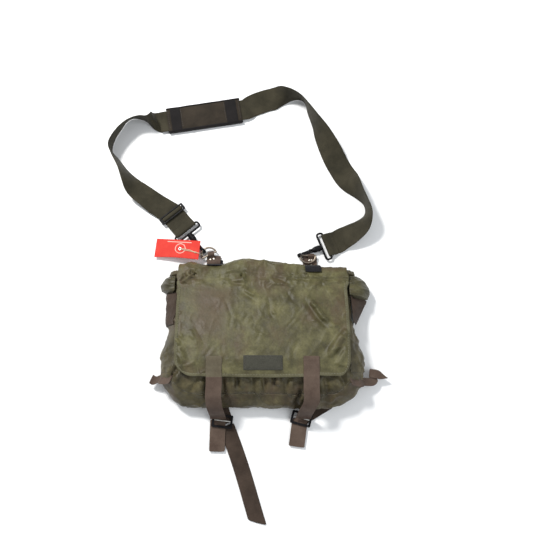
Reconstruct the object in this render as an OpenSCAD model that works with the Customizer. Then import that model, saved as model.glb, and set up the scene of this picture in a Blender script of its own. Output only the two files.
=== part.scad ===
// Nylon shoulder bag lying on its back, with a buckled flap, webbing straps,
// swivel snap hooks and a padded shoulder strap laid out in a loop.
// The back panel rests on z = 0, +Y points to the top of the bag, +Z out of the flap.

/* [Bag body] */
// Half of the back panel's width
body_half_w = 150; // [148:1:152]
// How far the back panel reaches below the origin
body_bottom = 104; // [102:1:106]
// How far the back panel reaches above the origin
body_top = 118; // [117:1:119]
// Radius of the two bottom corners
corner_r = 44; // [38:1:48]
// Thickness of the body fabric with its lining
sheet_t = 2.2; // [1.6:0.1:2.4]
// How far the side walls lean in at the front seam
wall_lean = 10; // [8:1:11]

/* [Flap] */
// Half of the flap's width
flap_half_w = 141; // [136:1:141]
// Distance from the origin down to the flap's lower edge
flap_drop = 66; // [60:1:70]
// Radius of the flap's lower corners
flap_corner_r = 14; // [8:1:20]
// Space between the flap and the front panel
flap_gap = 2; // [1.6:0.2:3]
// Height of the flap's hinge line above the origin
hinge_y = 100; // [99:0.5:101]

/* [Webbing] */
// Width of the closure webbing
web_w = 25; // [22:1:26]
// Thickness of all the webbing
web_t = 1.6; // [1.2:0.1:1.8]
// Width of the shoulder webbing
strap_w = 40; // [36:1:40]

/* [Metal parts] */
// Radius of the wire of the loops that hold the shoulder webbing
loop_wire_r = 1.75; // [1.4:0.05:1.9]
// Radius of the wire of the D-rings
ring_wire_r = 1.6; // [1.2:0.1:1.7]
// Radius of the D-rings, to the middle of the wire
ring_r = 13; // [12.8:0.1:13.2]
// Length of a closure buckle's opening
buckle_inner_w = 26; // [26:0.5:28]

/* [Shoulder pad] */
// Length of the pad
pad_l = 135; // [120:1:136]
// Width of the pad
pad_w = 48; // [44:1:52]

/* [Hidden] */
$fn = 32;
overlap_cut = 1;
seam_gap = 0.3;

// Height of the front panel's outer face along the bag, bottom to top.
bag_profile = [[-106, 30], [-98, 44], [-88, 54], [-72, 60], [-40, 62], [0, 58], [60, 45], [100, 33], [118, 27]];
// How far each side wall swells out along the bag.
left_swell = [[-104, 12], [-60, 17], [-33, 21], [4, 9], [29, 13], [79, 14], [112, 4]];
right_swell = [[-104, 12], [-60, 19], [-42, 23], [20, 5], [60, 9], [80, 12], [112, 4]];

mouth_y = 76;
flap_t = 2.2;
flap_cx = 1;
flap_start_y = hinge_y - 2;
spine_end_y = hinge_y + 2;
side_top_y = 112;
side_low_y = corner_r - body_bottom;

// Left and right closure straps: middle of the strap, then of its buckle and pull tab.
closure_x = [-74, 77];
buckle_at = [[-63, -131], [63, -127]];
buckle_turn = [-7, -15];
tab_start = [[-70, -130], [61, -129]];
tab_turn = [0, -8];
buckle_z = 4;
tab_z = 2;
bar_r = 1.3;
tail_low = [-9, -273];
tail_angle = 109.4;
tail_split = 144;

// Hanger tabs, D-rings and snap hooks, left then right.
hanger_x = [-82, 81];
hanger_w = 24;
hanger_z = 2.6;
ring_at = [[-90, 144], [77.5, 143]];
ring_turn = [27, 180];
ring_z = 7;
wrap_x = [3.5, 5.5];
wrap_w = [11, 10];
wrap_turn = [14, 0];
wrap_r = [3.2, 2.35];
wrap_shift = [1.6, 0.3];
loop_at = [[-131.4, 189.5], [110.5, 161.6]];
hook_turn = [-50, 201];
hook_z = 5.5;
loop_w = 48;
loop_l = 10;
loop_corner = 4;
collar_start = 13.8;
collar_l = 8.2;
cone_l = 6;
post_r = 2;
post_l = 10;
running_gap = 0.08;
eye_w = 1.2;
eye_r = 4;
eye_from = 33;
eye_to = 47.8;
eye_rim = 2.4;
hook_t = 4.5;
cheek_t = 0.7;
gate_pin_u = 30.5;
gate_pin_w = eye_w + 4.6;
gate_pin_r = 0.8;
gate_t = 3;

// Strap slider, shoulder pad and swing tag.
slider_u = 36.7;
pad_at = [-104.4, 405.3];
pad_turn = 9.4;
pad_base_t = 3.2;
pad_tunnel_h = 3.4;
pad_cover_t = 1.2;
// Middle of the tag's right edge on its lower face, its size, turn and slope.
tag_at = [-105.6, 149.6, 16];
tag_size = [77, 33];
tag_t = 0.8;
tag_turn = -5.8;
tag_slope = 8.4;
eyelet_at = [-34, 0.6];
string_r = 0.5;
string_y = 144;

// Route of the shoulder webbing from the left hook to the right one. Each point is
// x, y, the height of the webbing's middle where it lies flat, and its roll in degrees.
strap_route = [
    [-135.3, 194.1, 2.4, 0], [-142.3, 202.5, 2.4, 0], [-149.4, 210.9, 2.4, 0], [-156.5, 219.4, 2.4, 0],
    [-170.5, 228.5, 1.8, 3], [-186, 238.4, 1.4, 8], [-201.7, 250.1, 1.4, 17], [-218.9, 263.3, 1.4, 25],
    [-230.2, 278.1, 1.4, 51], [-241.8, 296.2, 1.4, 71], [-257, 319.7, 1.4, 80], [-266.1, 336.3, 1.4, 91],
    [-261.2, 356.7, 1.4, 99], [-248.7, 376.7, 1.4, 105], [-234.3, 392.3, 1.4, 115], [-215.3, 393.6, 1.4, 105],
    [-202, 388.7, 1.4, 92], [-192.9, 388.6, 1.4, 55], [-185.3, 391.9, 5, 0], [-178.4, 393.05, 5, 0], [-148.8, 398, 5, 0],
    [-126.6, 401.6, 5, 0], [-104.4, 405.3, 5, 0], [-82.2, 409, 5, 0], [-60, 412.6, 5, 0],
    [-31.4, 417.4, 5, 0], [-20, 424, 2.6, 10], [-7, 428.6, 1.4, 17], [7.6, 434.4, 1.4, 15],
    [23, 437.4, 1.4, 22], [37.9, 437.6, 1.4, 61], [54.9, 437.6, 1.4, 89], [71.7, 432, 1.4, 104],
    [82.8, 410.2, 1.4, 89], [95.5, 385.2, 1.4, 74], [103.8, 368, 1.4, 56], [114, 347.8, 1.4, 39],
    [123.6, 328.8, 1.4, 23], [133.7, 309.9, 1.4, 6], [144.3, 289.8, 1.4, 12], [153.3, 272, 1.4, 42],
    [166, 253.2, 1.4, 74], [177.9, 234.5, 1.4, 89], [180.5, 214.2, 1.4, 76], [169.1, 193.8, 1.4, 40],
    [151.8, 181.4, 1.4, 19], [138, 174.4, 2, 6], [129.2, 168.8, 2.4, 0], [124.5, 167, 2.4, 0], [116.1, 163.8, 2.4, 0]];

// ---- Vectors, profiles and sweeps -------------------------------------------------

function unit(v) = v / norm(v);
function turned(angle) = [cos(angle), sin(angle)];
function front_z(y) = lookup(y, bag_profile);
function front_line(low, high, lift) =
    let (steps = ceil((high - low) / 8))
    [for (k = [0:steps]) let (y = low + (high - low) * k / steps) [y, front_z(y) + lift]];

function line_side(line, k) =
    let (ahead = line[min(k + 1, len(line) - 1)], behind = line[max(k - 1, 0)], d = unit(ahead - behind))
    [-d[1], d[0]];

// A line of 2D points thickened to a band.
module band(line, t) {
    last = len(line) - 1;
    polygon(concat(
        [for (k = [0:last]) line[k] + line_side(line, k) * t / 2],
        [for (k = [last:-1:0]) line[k] - line_side(line, k) * t / 2]));
}

// A band drawn in the Y-Z plane, made wide along X.
module cross_band(line, t, from_x, to_x) {
    translate([from_x, 0, 0])
        rotate([90, 0, 90])
        linear_extrude(to_x - from_x)
        band(line, t);
}

// A closed solid through a row of rings that all have the same number of points.
// The two halves of a ring are split along opposite diagonals, so that the two faces of a
// twisted band stay parallel.
module loft(rings) {
    count = len(rings[0]);
    last = len(rings) - 1;
    sides = [
        for (k = [0:last - 1], j = [0:count - 1])
        let (a = k * count + j, b = k * count + (j + 1) % count)
        each (j < count / 2
            ? [[a, b, b + count], [a, b + count, a + count]]
            : [[a, b, a + count], [b, b + count, a + count]])];
    caps = [[for (j = [count - 1:-1:0]) j], [for (j = [0:count - 1]) last * count + j]];
    polyhedron(points = [for (ring = rings) each ring], faces = concat(sides, caps));
}

// ---- Side and bottom walls --------------------------------------------------------

function swell(x, y) = lookup(y, x < 0 ? left_swell : right_swell);

// Stations round the back seam: the point, then the direction out of the bag.
function side_stations(sign, high, low, steps) =
    [for (k = [0:steps]) [[sign * body_half_w, high + (low - high) * k / steps], [sign, 0]]];
function corner_stations(sign) =
    [for (k = [0:6]) let (a = sign < 0 ? 180 + 15 * k : 270 + 15 * k, out = turned(a))
        [[sign * (body_half_w - corner_r), side_low_y] + corner_r * out, out]];
function bottom_stations() = concat(
    corner_stations(-1),
    [for (k = [1:5]) [[-106 + 212 * k / 6, -body_bottom], [0, -1]]],
    corner_stations(1));

// A point on the wall: s runs from the back seam to the front seam, out is a lift off it.
function wall_point(station, s, out) =
    let (base = station[0], normal = station[1],
        reach = swell(base[0], base[1]) * sin(180 * pow(s, 0.75)) - wall_lean * pow(s, 3) + out,
        at = base + normal * reach,
        seam_y = base[1] - normal[1] * wall_lean,
        slope = (front_z(seam_y + 2) - front_z(seam_y - 2)) / 4,
        top = front_z(seam_y) - sheet_t * sqrt(1 + slope * slope) - seam_gap)
    [at[0], at[1], sheet_t + (top - sheet_t) * s];

function wall_ring(station, s_from, s_to, out, t) =
    let (steps = 6, ss = [for (k = [0:steps]) s_from + (s_to - s_from) * k / steps])
    concat(
        [for (s = ss) wall_point(station, s, out + t)],
        [for (k = [steps:-1:0]) wall_point(station, ss[k], out)]);

module wall(stations, s_from, s_to, out, t) {
    clockwise = stations[0][0][1] < stations[len(stations) - 1][0][1] || stations[0][0][0] < 0;
    rings = [for (station = stations) wall_ring(station, s_from, s_to, out, t)];
    loft(clockwise ? rings : [for (k = [len(rings) - 1:-1:0]) rings[k]]);
}

module side_gusset(sign) {
    color("#524b37") wall(side_stations(sign, side_top_y, side_low_y, 11), 0, 1, -sheet_t, sheet_t);
}
module side_gusset_left() { side_gusset(-1); }
module side_gusset_right() { side_gusset(1); }

module bottom_gusset() {
    color("#524b37") wall(bottom_stations(), 0, 1, -sheet_t, sheet_t);
}

// Gathered fabric that closes the mouth at each side.
module side_ear(sign, low) {
    color("#3f3b2a") wall(side_stations(sign, 102, low, 4), 0.42, 0.9, 1.6, 2.4);
}
module side_ear_left() { side_ear(-1, 76); }
module side_ear_right() { side_ear(1, 66); }

// Webbing sewn down the outside of each side wall.
module side_webbing(sign, high, low) {
    color("#524539") wall(side_stations(sign, high, low, 5), 0.3, 0.92, 0.4, web_t);
}
module side_webbing_left() { side_webbing(-1, 74, 18); }
module side_webbing_right() { side_webbing(1, 64, 22); }

// Short webbing ends sewn round the lower corners.
module flat_strap(from, to, w, z, t) {
    length = norm(to - from);
    angle = atan2(to[1] - from[1], to[0] - from[0]);
    translate([from[0], from[1], z])
        rotate([0, 0, angle])
        translate([0, -w / 2, 0])
        cube([length, w, t]);
}

module side_strap_left() {
    color("#524539") {
        wall(side_stations(-1, side_low_y - 2, side_low_y - 16, 2), 0.45, 0.9, 0.4, web_t);
        flat_strap([-168, -74], [-178, -66], 14, 14, web_t);
    }
}

module side_strap_right() {
    color("#524539") {
        wall(side_stations(1, side_low_y - 2, side_low_y - 16, 2), 0.45, 0.9, 0.4, web_t);
        translate([0, 0, 10])
            linear_extrude(web_t)
            polygon([[176, -50], [184, -48], [204, -59], [184, -72], [178, -70]]);
    }
}

// ---- Front, back and mouth ----------------------------------------------------------

function rim(stations, reach) = [for (station = stations) station[0] + station[1] * reach];

module body_outline(high, reach) {
    polygon(concat(
        [[-body_half_w - reach, high]],
        rim(bottom_stations(), reach),
        [[body_half_w + reach, high]]));
}

module back_panel() {
    color("#4a4433")
        linear_extrude(sheet_t)
        body_outline(body_top, 0);
}

module front_panel() {
    color("#524b37")
        intersection() {
            linear_extrude(100)
                body_outline(mouth_y, -wall_lean);
            cross_band(front_line(-body_bottom, mouth_y, -sheet_t / 2), sheet_t, -160, 160);
        }
}

// Tape folded over the edge of the mouth.
module mouth_binding() {
    half = body_half_w - wall_lean - 1;
    color("#3a3528")
        difference() {
            cross_band(front_line(mouth_y - 8, mouth_y + 1.5, -sheet_t / 2), sheet_t + 1.4, -half, half);
            cross_band(front_line(mouth_y - 16, mouth_y, -sheet_t / 2), sheet_t, -160, 160);
        }
}

// ---- Flap ------------------------------------------------------------------------------

// Fabric that closes the top edge, from the back seam over to the hinge line.
module flap_spine() {
    half = flap_half_w - 3;
    lift = flap_gap + flap_t / 2;
    top = front_z(spine_end_y) + lift;
    color("#69664e")
        cross_band([
            [body_top - 1.1, sheet_t + 0.4], [body_top + 0.6, 12], [body_top - 0.4, 22], [body_top - 4, top - 6.5],
            [body_top - 9, top - 2.6], [spine_end_y, top]], flap_t, -half, half);
}

module flap_outline(inset) {
    half = flap_half_w - inset;
    low = -flap_drop + inset;
    translate([flap_cx, 0])
        union() {
            translate([-half, low + flap_corner_r]) square([2 * half, flap_start_y - low - flap_corner_r]);
            translate([-half + flap_corner_r, low]) square([2 * (half - flap_corner_r), flap_corner_r + 1]);
            for (sign = [-1, 1])
                translate([sign * (half - flap_corner_r), low + flap_corner_r]) circle(flap_corner_r);
        }
}

module flap_layer(inset, t) {
    intersection() {
        linear_extrude(100) flap_outline(inset);
        cross_band(front_line(-flap_drop, flap_start_y, flap_gap + flap_t / 2), t, -160, 160);
    }
}

module flap_panel() {
    color("#69664e") flap_layer(1.5, flap_t);
}

module flap_binding() {
    color("#57533c")
        difference() {
            flap_layer(0, flap_t + 1);
            flap_layer(1.5, flap_t);
            translate([0, 0, -overlap_cut]) linear_extrude(100) flap_outline(7);
            translate([-170, flap_start_y - 1, 0]) cube([340, 20, 100]);
        }
}

module name_patch() {
    lift = flap_gap + flap_t + 0.2 + 0.6;
    color("#4e4c42") cross_band(front_line(-56.5, -33.5, lift), 1.2, -28.5, 32.5);
}

// ---- Closure straps, buckles and tails -------------------------------------------------

module closure_strap(side) {
    lift = flap_gap + flap_t + 0.7 + web_t / 2;
    over_edge = [[-127.5, 9.4], [-124, 11], [-121.7, 18], [-119.5, 30], [-114.5, 41], [-106, 51], [-96, 58]];
    on_flap = front_line(-84, -35, lift);
    color("#64564b")
        cross_band(concat(over_edge, on_flap), web_t, closure_x[side] - web_w / 2, closure_x[side] + web_w / 2);
}
module closure_strap_left() { closure_strap(0); }
module closure_strap_right() { closure_strap(1); }

module at_buckle(side) {
    translate([buckle_at[side][0], buckle_at[side][1], buckle_z])
        rotate([0, 0, buckle_turn[side]])
        children();
}

module buckle_frame(side) {
    rail = 3.5;
    inner_l = 14;
    color("#161417")
        at_buckle(side)
        linear_extrude(3)
        difference() {
            round_rect(buckle_inner_w + 2 * rail, inner_l + 2 * rail, 2);
            square([buckle_inner_w, inner_l], center = true);
        }
}
module buckle_frame_left() { buckle_frame(0); }
module buckle_frame_right() { buckle_frame(1); }

// A rectangle with round corners, from squares and circles.
module round_rect(w, h, r) {
    square([w - 2 * r, h], center = true);
    square([w, h - 2 * r], center = true);
    for (x = [-1, 1], y = [-1, 1])
        translate([x * (w / 2 - r), y * (h / 2 - r)]) circle(r);
}

// Worn steel bar that slides in the buckle frame and grips the webbing.
module buckle_bar(side) {
    color("silver")
        at_buckle(side)
        translate([0, 1, 1.5])
        rotate([0, 90, 0])
        cylinder(h = buckle_inner_w - 0.4, r = bar_r, center = true);
}
module buckle_bar_left() { buckle_bar(0); }
module buckle_bar_right() { buckle_bar(1); }

module pull_tab(side) {
    length = 49 - 6 * side;
    color("#5a4c41")
        translate([tab_start[side][0], tab_start[side][1], tab_z])
        rotate([0, 0, tab_turn[side]])
        translate([-web_w / 2, -length, 0])
        cube([web_w, length, web_t]);
}
module pull_tab_left() { pull_tab(0); }
module pull_tab_right() { pull_tab(1); }

// The left anchor strap and its long tail are one straight line of webbing.
module tail_run(from, to) {
    flat_strap(tail_low + from * turned(tail_angle), tail_low + to * turned(tail_angle), web_w, 0, web_t);
}

module below_bag() {
    difference() {
        children();
        translate([-200, -body_bottom - 0.3, -overlap_cut]) cube([400, 60, 10]);
    }
}

module anchor_strap_left() {
    color("#3e342a") below_bag() tail_run(tail_split, 186);
}

module anchor_strap_right() {
    color("#3e342a") below_bag() flat_strap([120, -96], [58, -131], 20, 0, web_t);
}

module closure_tail_left() {
    color("#5a4c41")
        difference() {
            tail_run(-12, tail_split);
            translate([tail_low[0], tail_low[1], -overlap_cut])
                rotate([0, 0, tail_angle - 62])
                translate([-30, -40, 0])
                cube([60, 40, 10]);
        }
}

// ---- Hanger tabs and D-rings ---------------------------------------------------------------

// Webbing tab out of the top seam; a narrower turn of it wraps the D-ring's bar.
module hanger_tab(side) {
    base_t = 0.7;
    wrap_t = 0.9;
    r = wrap_r[side];
    shift = wrap_shift[side];
    top_y = ring_at[side][1] - 0.5;
    lay = hanger_z + base_t / 2;
    up_spine = [[122.4, lay], [121.3, 8], [120.6, 14], [119.7, 21.5]];
    turn = [for (a = [-90:30:90]) [shift + r * cos(a), ring_z + r * sin(a)]];
    color("#64564b") {
        cross_band(concat([[top_y, lay]], side == 0 ? [[body_top + 3, lay]] : up_spine),
            base_t, hanger_x[side] - hanger_w / 2, hanger_x[side] + hanger_w / 2);
        translate([ring_at[side][0], ring_at[side][1], 0])
            rotate([0, 0, wrap_turn[side]])
            cross_band(concat([[-5, hanger_z + base_t + wrap_t / 2]], turn, [[-1.5, ring_z + r - 0.05],
                [-5.4, hanger_z + base_t + 1.35], [-13, hanger_z + base_t + 1.35]]),
                wrap_t, wrap_x[side] - wrap_w[side] / 2, wrap_x[side] + wrap_w[side] / 2);
    }
}
module hanger_tab_left() { hanger_tab(0); }
module hanger_tab_right() { hanger_tab(1); }

// Dark patches that hold the tabs to the top edge. The left one also covers half its tab.
module tab_keeper_left() {
    x = hanger_x[0] + 3;
    color("#1c1a1c")
        cross_band([[134.2, 5.8], [130.2, 5.8], [126, 4.6], [123.4, 5], [122.4, 8], [121.5, 14],
            [120.3, 22.5], [116.6, 30]], 1.2, x - 13, x + 13);
}
module tab_keeper_right() {
    x = hanger_x[1] + 3;
    top = front_z(spine_end_y) + flap_gap + flap_t + 0.8;
    color("#1c1a1c")
        cross_band([[120.3, 22.5], [body_top - 2.6, top - 4.8], [body_top - 8.4, top - 1.6],
            [spine_end_y + 4, top - 0.2]], 1.2, x - 13, x + 13);
}

module rivet(x, y, z) {
    translate([x, y, z]) cylinder(h = 1, r = 1.7);
}
module tab_rivets_left() {
    color("#e1d7c8") {
        rivet(-87.5, 136.2, 5.1);
        rivet(-81.7, 137.6, 5.1);
    }
}
module tab_rivets_right() {
    color("#e1d7c8") {
        rivet(80, 135.2, 5.1);
        rivet(83.9, 135.6, 5.1);
        rivet(83, 127, hanger_z + 0.7);
    }
}

module d_ring(side) {
    color("#96877a")
        translate([ring_at[side][0], ring_at[side][1], ring_z])
        rotate([0, 0, ring_turn[side]]) {
            rotate([0, 90, 0]) cylinder(h = 2 * ring_r, r = ring_wire_r, center = true);
            rotate_extrude(angle = 180, $fn = 64)
                translate([ring_r, 0])
                circle(ring_wire_r);
            for (x = [-1, 1])
                translate([x * ring_r, 0, 0]) sphere(ring_wire_r);
        }
}
module d_ring_left() { d_ring(0); }
module d_ring_right() { d_ring(1); }

// ---- Snap hooks -----------------------------------------------------------------------------

// Local frame of a hook: +X from the webbing bar to the hook's eye, +Z up.
module at_hook(side) {
    translate([loop_at[side][0], loop_at[side][1], hook_z])
        rotate([0, 0, hook_turn[side]])
        children();
}

module rod(from, to, r) {
    length = norm(to - from);
    turn = atan2(to[1] - from[1], to[0] - from[0]);
    translate(from)
        rotate([0, 90, turn])
        cylinder(h = length, r = r);
}

module wire_corner(x, y, angle) {
    translate([x, y, 0])
        rotate([0, 0, angle])
        rotate_extrude(angle = 90)
        translate([loop_corner, 0])
        circle(loop_wire_r);
}

// Rectangular wire loop for the webbing, with the post that the hook turns on.
module hook_loop(side) {
    half = loop_w / 2;
    c = loop_corner;
    color("#161417")
        at_hook(side) {
            rod([0, c - half, 0], [0, half - c, 0], loop_wire_r);
            rod([loop_l, c - half, 0], [loop_l, half - c, 0], loop_wire_r);
            rod([c, -half, 0], [loop_l - c, -half, 0], loop_wire_r);
            rod([c, half, 0], [loop_l - c, half, 0], loop_wire_r);
            wire_corner(loop_l - c, half - c, 0);
            wire_corner(c, half - c, 90);
            wire_corner(c, c - half, 180);
            wire_corner(loop_l - c, c - half, 270);
            translate([loop_l, 0, 0])
                rotate([0, 90, 0])
                cylinder(h = 3.4, r = 4.6);
            translate([loop_l, 0, 0])
                rotate([0, 90, 0])
                cylinder(h = post_l, r = post_r);
        }
}
module hook_loop_left() { hook_loop(0); }
module hook_loop_right() { hook_loop(1); }

module slot_2d(from, to, r) {
    translate([from, 0]) circle(r);
    translate([to, 0]) circle(r);
    translate([from, -r]) square([to - from, 2 * r]);
}

// Gate opening: a slot for the gate between two cheeks at the pin, open from there on.
module gate_opening() {
    translate([gate_pin_u - 2.2, cheek_t - hook_t / 2, gate_pin_w - 2])
        cube([4.7, hook_t - 2 * cheek_t, 12]);
    translate([gate_pin_u + 2.4, -hook_t, gate_pin_w - 1.8])
        cube([eye_to - gate_pin_u - 2.4, 2 * hook_t, 12]);
}

// The hook's flat eye stands upright, so the D-ring's wire goes through it sideways.
module hook_body(side) {
    rim_r = eye_r + eye_rim;
    color("#161417")
        at_hook(side)
        difference() {
            union() {
                translate([collar_start, 0, 0])
                    rotate([0, 90, 0])
                    cylinder(h = collar_l, r = 5.2);
                translate([collar_start + collar_l, 0, 0])
                    rotate([0, 90, 0])
                    cylinder(h = cone_l, r1 = 5.2, r2 = 3);
                translate([0, hook_t / 2, eye_w])
                    rotate([90, 0, 0])
                    linear_extrude(hook_t)
                    difference() {
                        slot_2d(eye_from, eye_to, rim_r);
                        slot_2d(eye_from, eye_to, eye_r);
                    }
            }
            translate([collar_start - overlap_cut, 0, 0])
                rotate([0, 90, 0])
                cylinder(h = loop_l + post_l - collar_start + overlap_cut, r = post_r + running_gap);
            gate_opening();
            translate([gate_pin_u, 0, gate_pin_w])
                rotate([90, 0, 0])
                cylinder(h = 2 * hook_t, r = gate_pin_r + 0.02, center = true);
        }
}
module hook_body_left() { hook_body(0); }
module hook_body_right() { hook_body(1); }

module gate_pin(side) {
    color("silver")
        at_hook(side)
        translate([gate_pin_u, 0, gate_pin_w])
        rotate([90, 0, 0])
        cylinder(h = hook_t, r = gate_pin_r, center = true);
}
module gate_pin_left() { gate_pin(0); }
module gate_pin_right() { gate_pin(1); }

// Sprung gate: a bar from the pin to the hook's nose.
module hook_gate(side) {
    length = eye_to - gate_pin_u - 0.8;
    color("#222024")
        at_hook(side)
        translate([gate_pin_u, gate_t / 2, gate_pin_w])
        rotate([90, 0, 0])
        linear_extrude(gate_t)
        difference() {
            union() {
                circle(1.7);
                translate([0, -0.7]) square([length, 2.3]);
            }
            circle(gate_pin_r + running_gap);
        }
}
module hook_gate_left() { hook_gate(0); }
module hook_gate_right() { hook_gate(1); }

// ---- Shoulder webbing ------------------------------------------------------------------------

// Doubled end of the webbing: round the loop's bar and back along the strap.
module strap_end(side, length) {
    inner = loop_wire_r + 0.3 + web_t / 2;
    turn = [for (a = [-90:-30:-270]) [inner * cos(a), inner * sin(a)]];
    lower = [[5.8, 2.4 - hook_z]];
    upper = [[5, 2], [11, 4.5 - hook_z], [length, 4.5 - hook_z]];
    color("#3c382b")
        at_hook(side)
        translate([0, strap_w / 2, 0])
        rotate([90, 0, 0])
        linear_extrude(strap_w)
        mirror([1, 0])
        band(concat(lower, turn, upper), web_t);
}
module strap_end_left() { strap_end(0, 34); }
module strap_end_right() { strap_end(1, 15); }

function spline(p, k, f) =
    let (a = p[max(k - 1, 0)], b = p[k], c = p[k + 1], d = p[min(k + 2, len(p) - 1)])
    0.5 * ((2 * b) + (c - a) * f + (2 * a - 5 * b + 4 * c - d) * f * f + (3 * b - a - 3 * c + d) * f * f * f);

strap_points = concat(
    [for (k = [0:len(strap_route) - 2], f = [0, 1 / 3, 2 / 3]) if (f == 0 || k > 2) spline(strap_route, k, f)],
    [strap_route[len(strap_route) - 1]]);

// Eight points round the flat section at one point of the route. A rolled stretch is
// lifted, so that its lower edge lies on the surface.
function strap_ring(p, k) =
    let (ahead = p[min(k + 1, len(p) - 1)], behind = p[max(k - 1, 0)],
        d = unit([ahead[0] - behind[0], ahead[1] - behind[1]]),
        roll = p[k][3],
        across = [-d[1] * cos(roll), d[0] * cos(roll), sin(roll)],
        up = [d[1] * sin(roll), -d[0] * sin(roll), cos(roll)],
        rise = max(p[k][2], (strap_w / 2) * abs(sin(roll)) + web_t / 2 * abs(cos(roll)) + 0.2),
        at = [p[k][0], p[k][1], rise],
        a = strap_w / 2, b = web_t / 2, in = 0.4)
    [for (q = [[a, in - b], [a, b - in], [a - in, b], [in - a, b],
        [-a, b - in], [-a, in - b], [in - a, -b], [a - in, -b]]) at + across * q[0] + up * q[1]];

module shoulder_strap() {
    color("#3c382b")
        loft([for (k = [0:len(strap_points) - 1]) strap_ring(strap_points, k)]);
}

// Three-bar slider lying on the strap, with the middle bar held by its two ends.
module strap_slider() {
    color("#161417")
        translate([loop_at[0][0], loop_at[0][1], 0])
        rotate([0, 0, hook_turn[0] + 180]) {
            translate([slider_u, 0, 5.9])
                linear_extrude(3)
                difference() {
                    round_rect(12.5, 49, 2);
                    for (x = [-2.95, 2.95])
                        translate([x, 0]) square([3, 42], center = true);
                }
        }
}

module at_pad() {
    translate([pad_at[0], pad_at[1], 0])
        rotate([0, 0, pad_turn])
        children();
}

module pad_base() {
    color("#231e1e") at_pad() linear_extrude(pad_base_t) round_rect(pad_l, pad_w, 3);
}

// The cover is sewn down along both long edges and leaves a tunnel for the strap.
module pad_cover() {
    color("#3c362b")
        at_pad()
        translate([0, 0, pad_base_t])
        difference() {
            linear_extrude(pad_tunnel_h + pad_cover_t) round_rect(pad_l - 2, pad_w - 1, 3);
            translate([0, 0, pad_tunnel_h / 2 - overlap_cut])
                cube([pad_l + 2, strap_w + 1.6, pad_tunnel_h + 2 * overlap_cut], center = true);
        }
}

// Dark webbing bands sewn across both ends of the cover.
module pad_bands() {
    color("#1c1a1c")
        at_pad()
        for (x = [-51, 49])
            translate([x, 0, pad_base_t + pad_tunnel_h + pad_cover_t + 0.35])
            cube([18, pad_w - 3, 0.7], center = true);
}

// ---- Swing tag -------------------------------------------------------------------------------

// Frame of the tag: origin in the middle of its right edge, on its lower face.
module at_tag() {
    translate(tag_at)
        rotate([0, 0, tag_turn])
        rotate([0, -tag_slope, 0])
        children();
}

module swing_tag() {
    color("#e43a2c")
        at_tag()
        difference() {
            translate([-tag_size[0], -tag_size[1] / 2, 0]) cube([tag_size[0], tag_size[1], tag_t]);
            translate([eyelet_at[0], eyelet_at[1], -overlap_cut]) cylinder(h = 4, r = 2.7);
        }
}

module tag_eyelet() {
    color("#b09a6a")
        at_tag()
        translate([eyelet_at[0], eyelet_at[1], -0.2])
        rotate_extrude()
        translate([1.6, 0])
        square([1.1, tag_t + 0.4]);
}

// A point on the tag as seen in the bag's frame.
function tag_point(x, y, z) =
    let (a = tag_slope, b = tag_turn, u = x * cos(a) - z * sin(a), w = x * sin(a) + z * cos(a))
    [tag_at[0] + u * cos(b) - y * sin(b), tag_at[1] + u * sin(b) + y * cos(b), tag_at[2] + w];

module bead_line(points, r) {
    for (k = [0:len(points) - 2])
        hull() {
            translate(points[k]) sphere(r, $fn = 12);
            translate(points[k + 1]) sphere(r, $fn = 12);
        }
}

// Thin string from the eyelet over the card's edge and round the left D-ring's wire.
module tag_string() {
    above = tag_t + string_r + 0.25;
    wire_x = ring_at[0][0] - ring_r;
    turn_r = ring_wire_r + string_r + 0.3;
    round_wire = [for (a = [180:30:450]) [wire_x + turn_r * cos(a), string_y, ring_z + turn_r * sin(a)]];
    color("#d8c8a0")
        bead_line(concat([tag_point(eyelet_at[0], eyelet_at[1], -0.6), tag_point(eyelet_at[0], eyelet_at[1], above),
            tag_point(-16, -2.6, above), tag_point(-0.5, -5.4, above), tag_point(0.9, -5.6, 0.6),
            [wire_x - 2.4, string_y, 13]], round_wire), string_r);
}

back_panel();
front_panel();
bottom_gusset();
side_gusset_left();
side_gusset_right();
mouth_binding();
side_ear_left();
side_ear_right();
side_webbing_left();
side_webbing_right();
side_strap_left();
side_strap_right();
flap_spine();
hanger_tab_left();
hanger_tab_right();
tab_keeper_left();
tab_keeper_right();
tab_rivets_left();
tab_rivets_right();
anchor_strap_left();
anchor_strap_right();
closure_tail_left();
hook_loop_left();
hook_loop_right();
strap_end_left();
strap_end_right();
shoulder_strap();
tag_string();
flap_panel();
flap_binding();
name_patch();
closure_strap_left();
closure_strap_right();
buckle_frame_left();
buckle_frame_right();
pull_tab_left();
pull_tab_right();
buckle_bar_left();
buckle_bar_right();
d_ring_left();
d_ring_right();
hook_body_left();
hook_body_right();
gate_pin_left();
gate_pin_right();
hook_gate_left();
hook_gate_right();
strap_slider();
pad_base();
pad_cover();
pad_bands();
swing_tag();
tag_eyelet();
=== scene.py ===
"""Looks of an olive nylon shoulder bag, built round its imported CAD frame. Shapes are worked out in mm."""

import math

import bpy
import bmesh
import numpy as np
from mathutils import Matrix, Vector, noise
from mathutils.bvhtree import BVHTree


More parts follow.
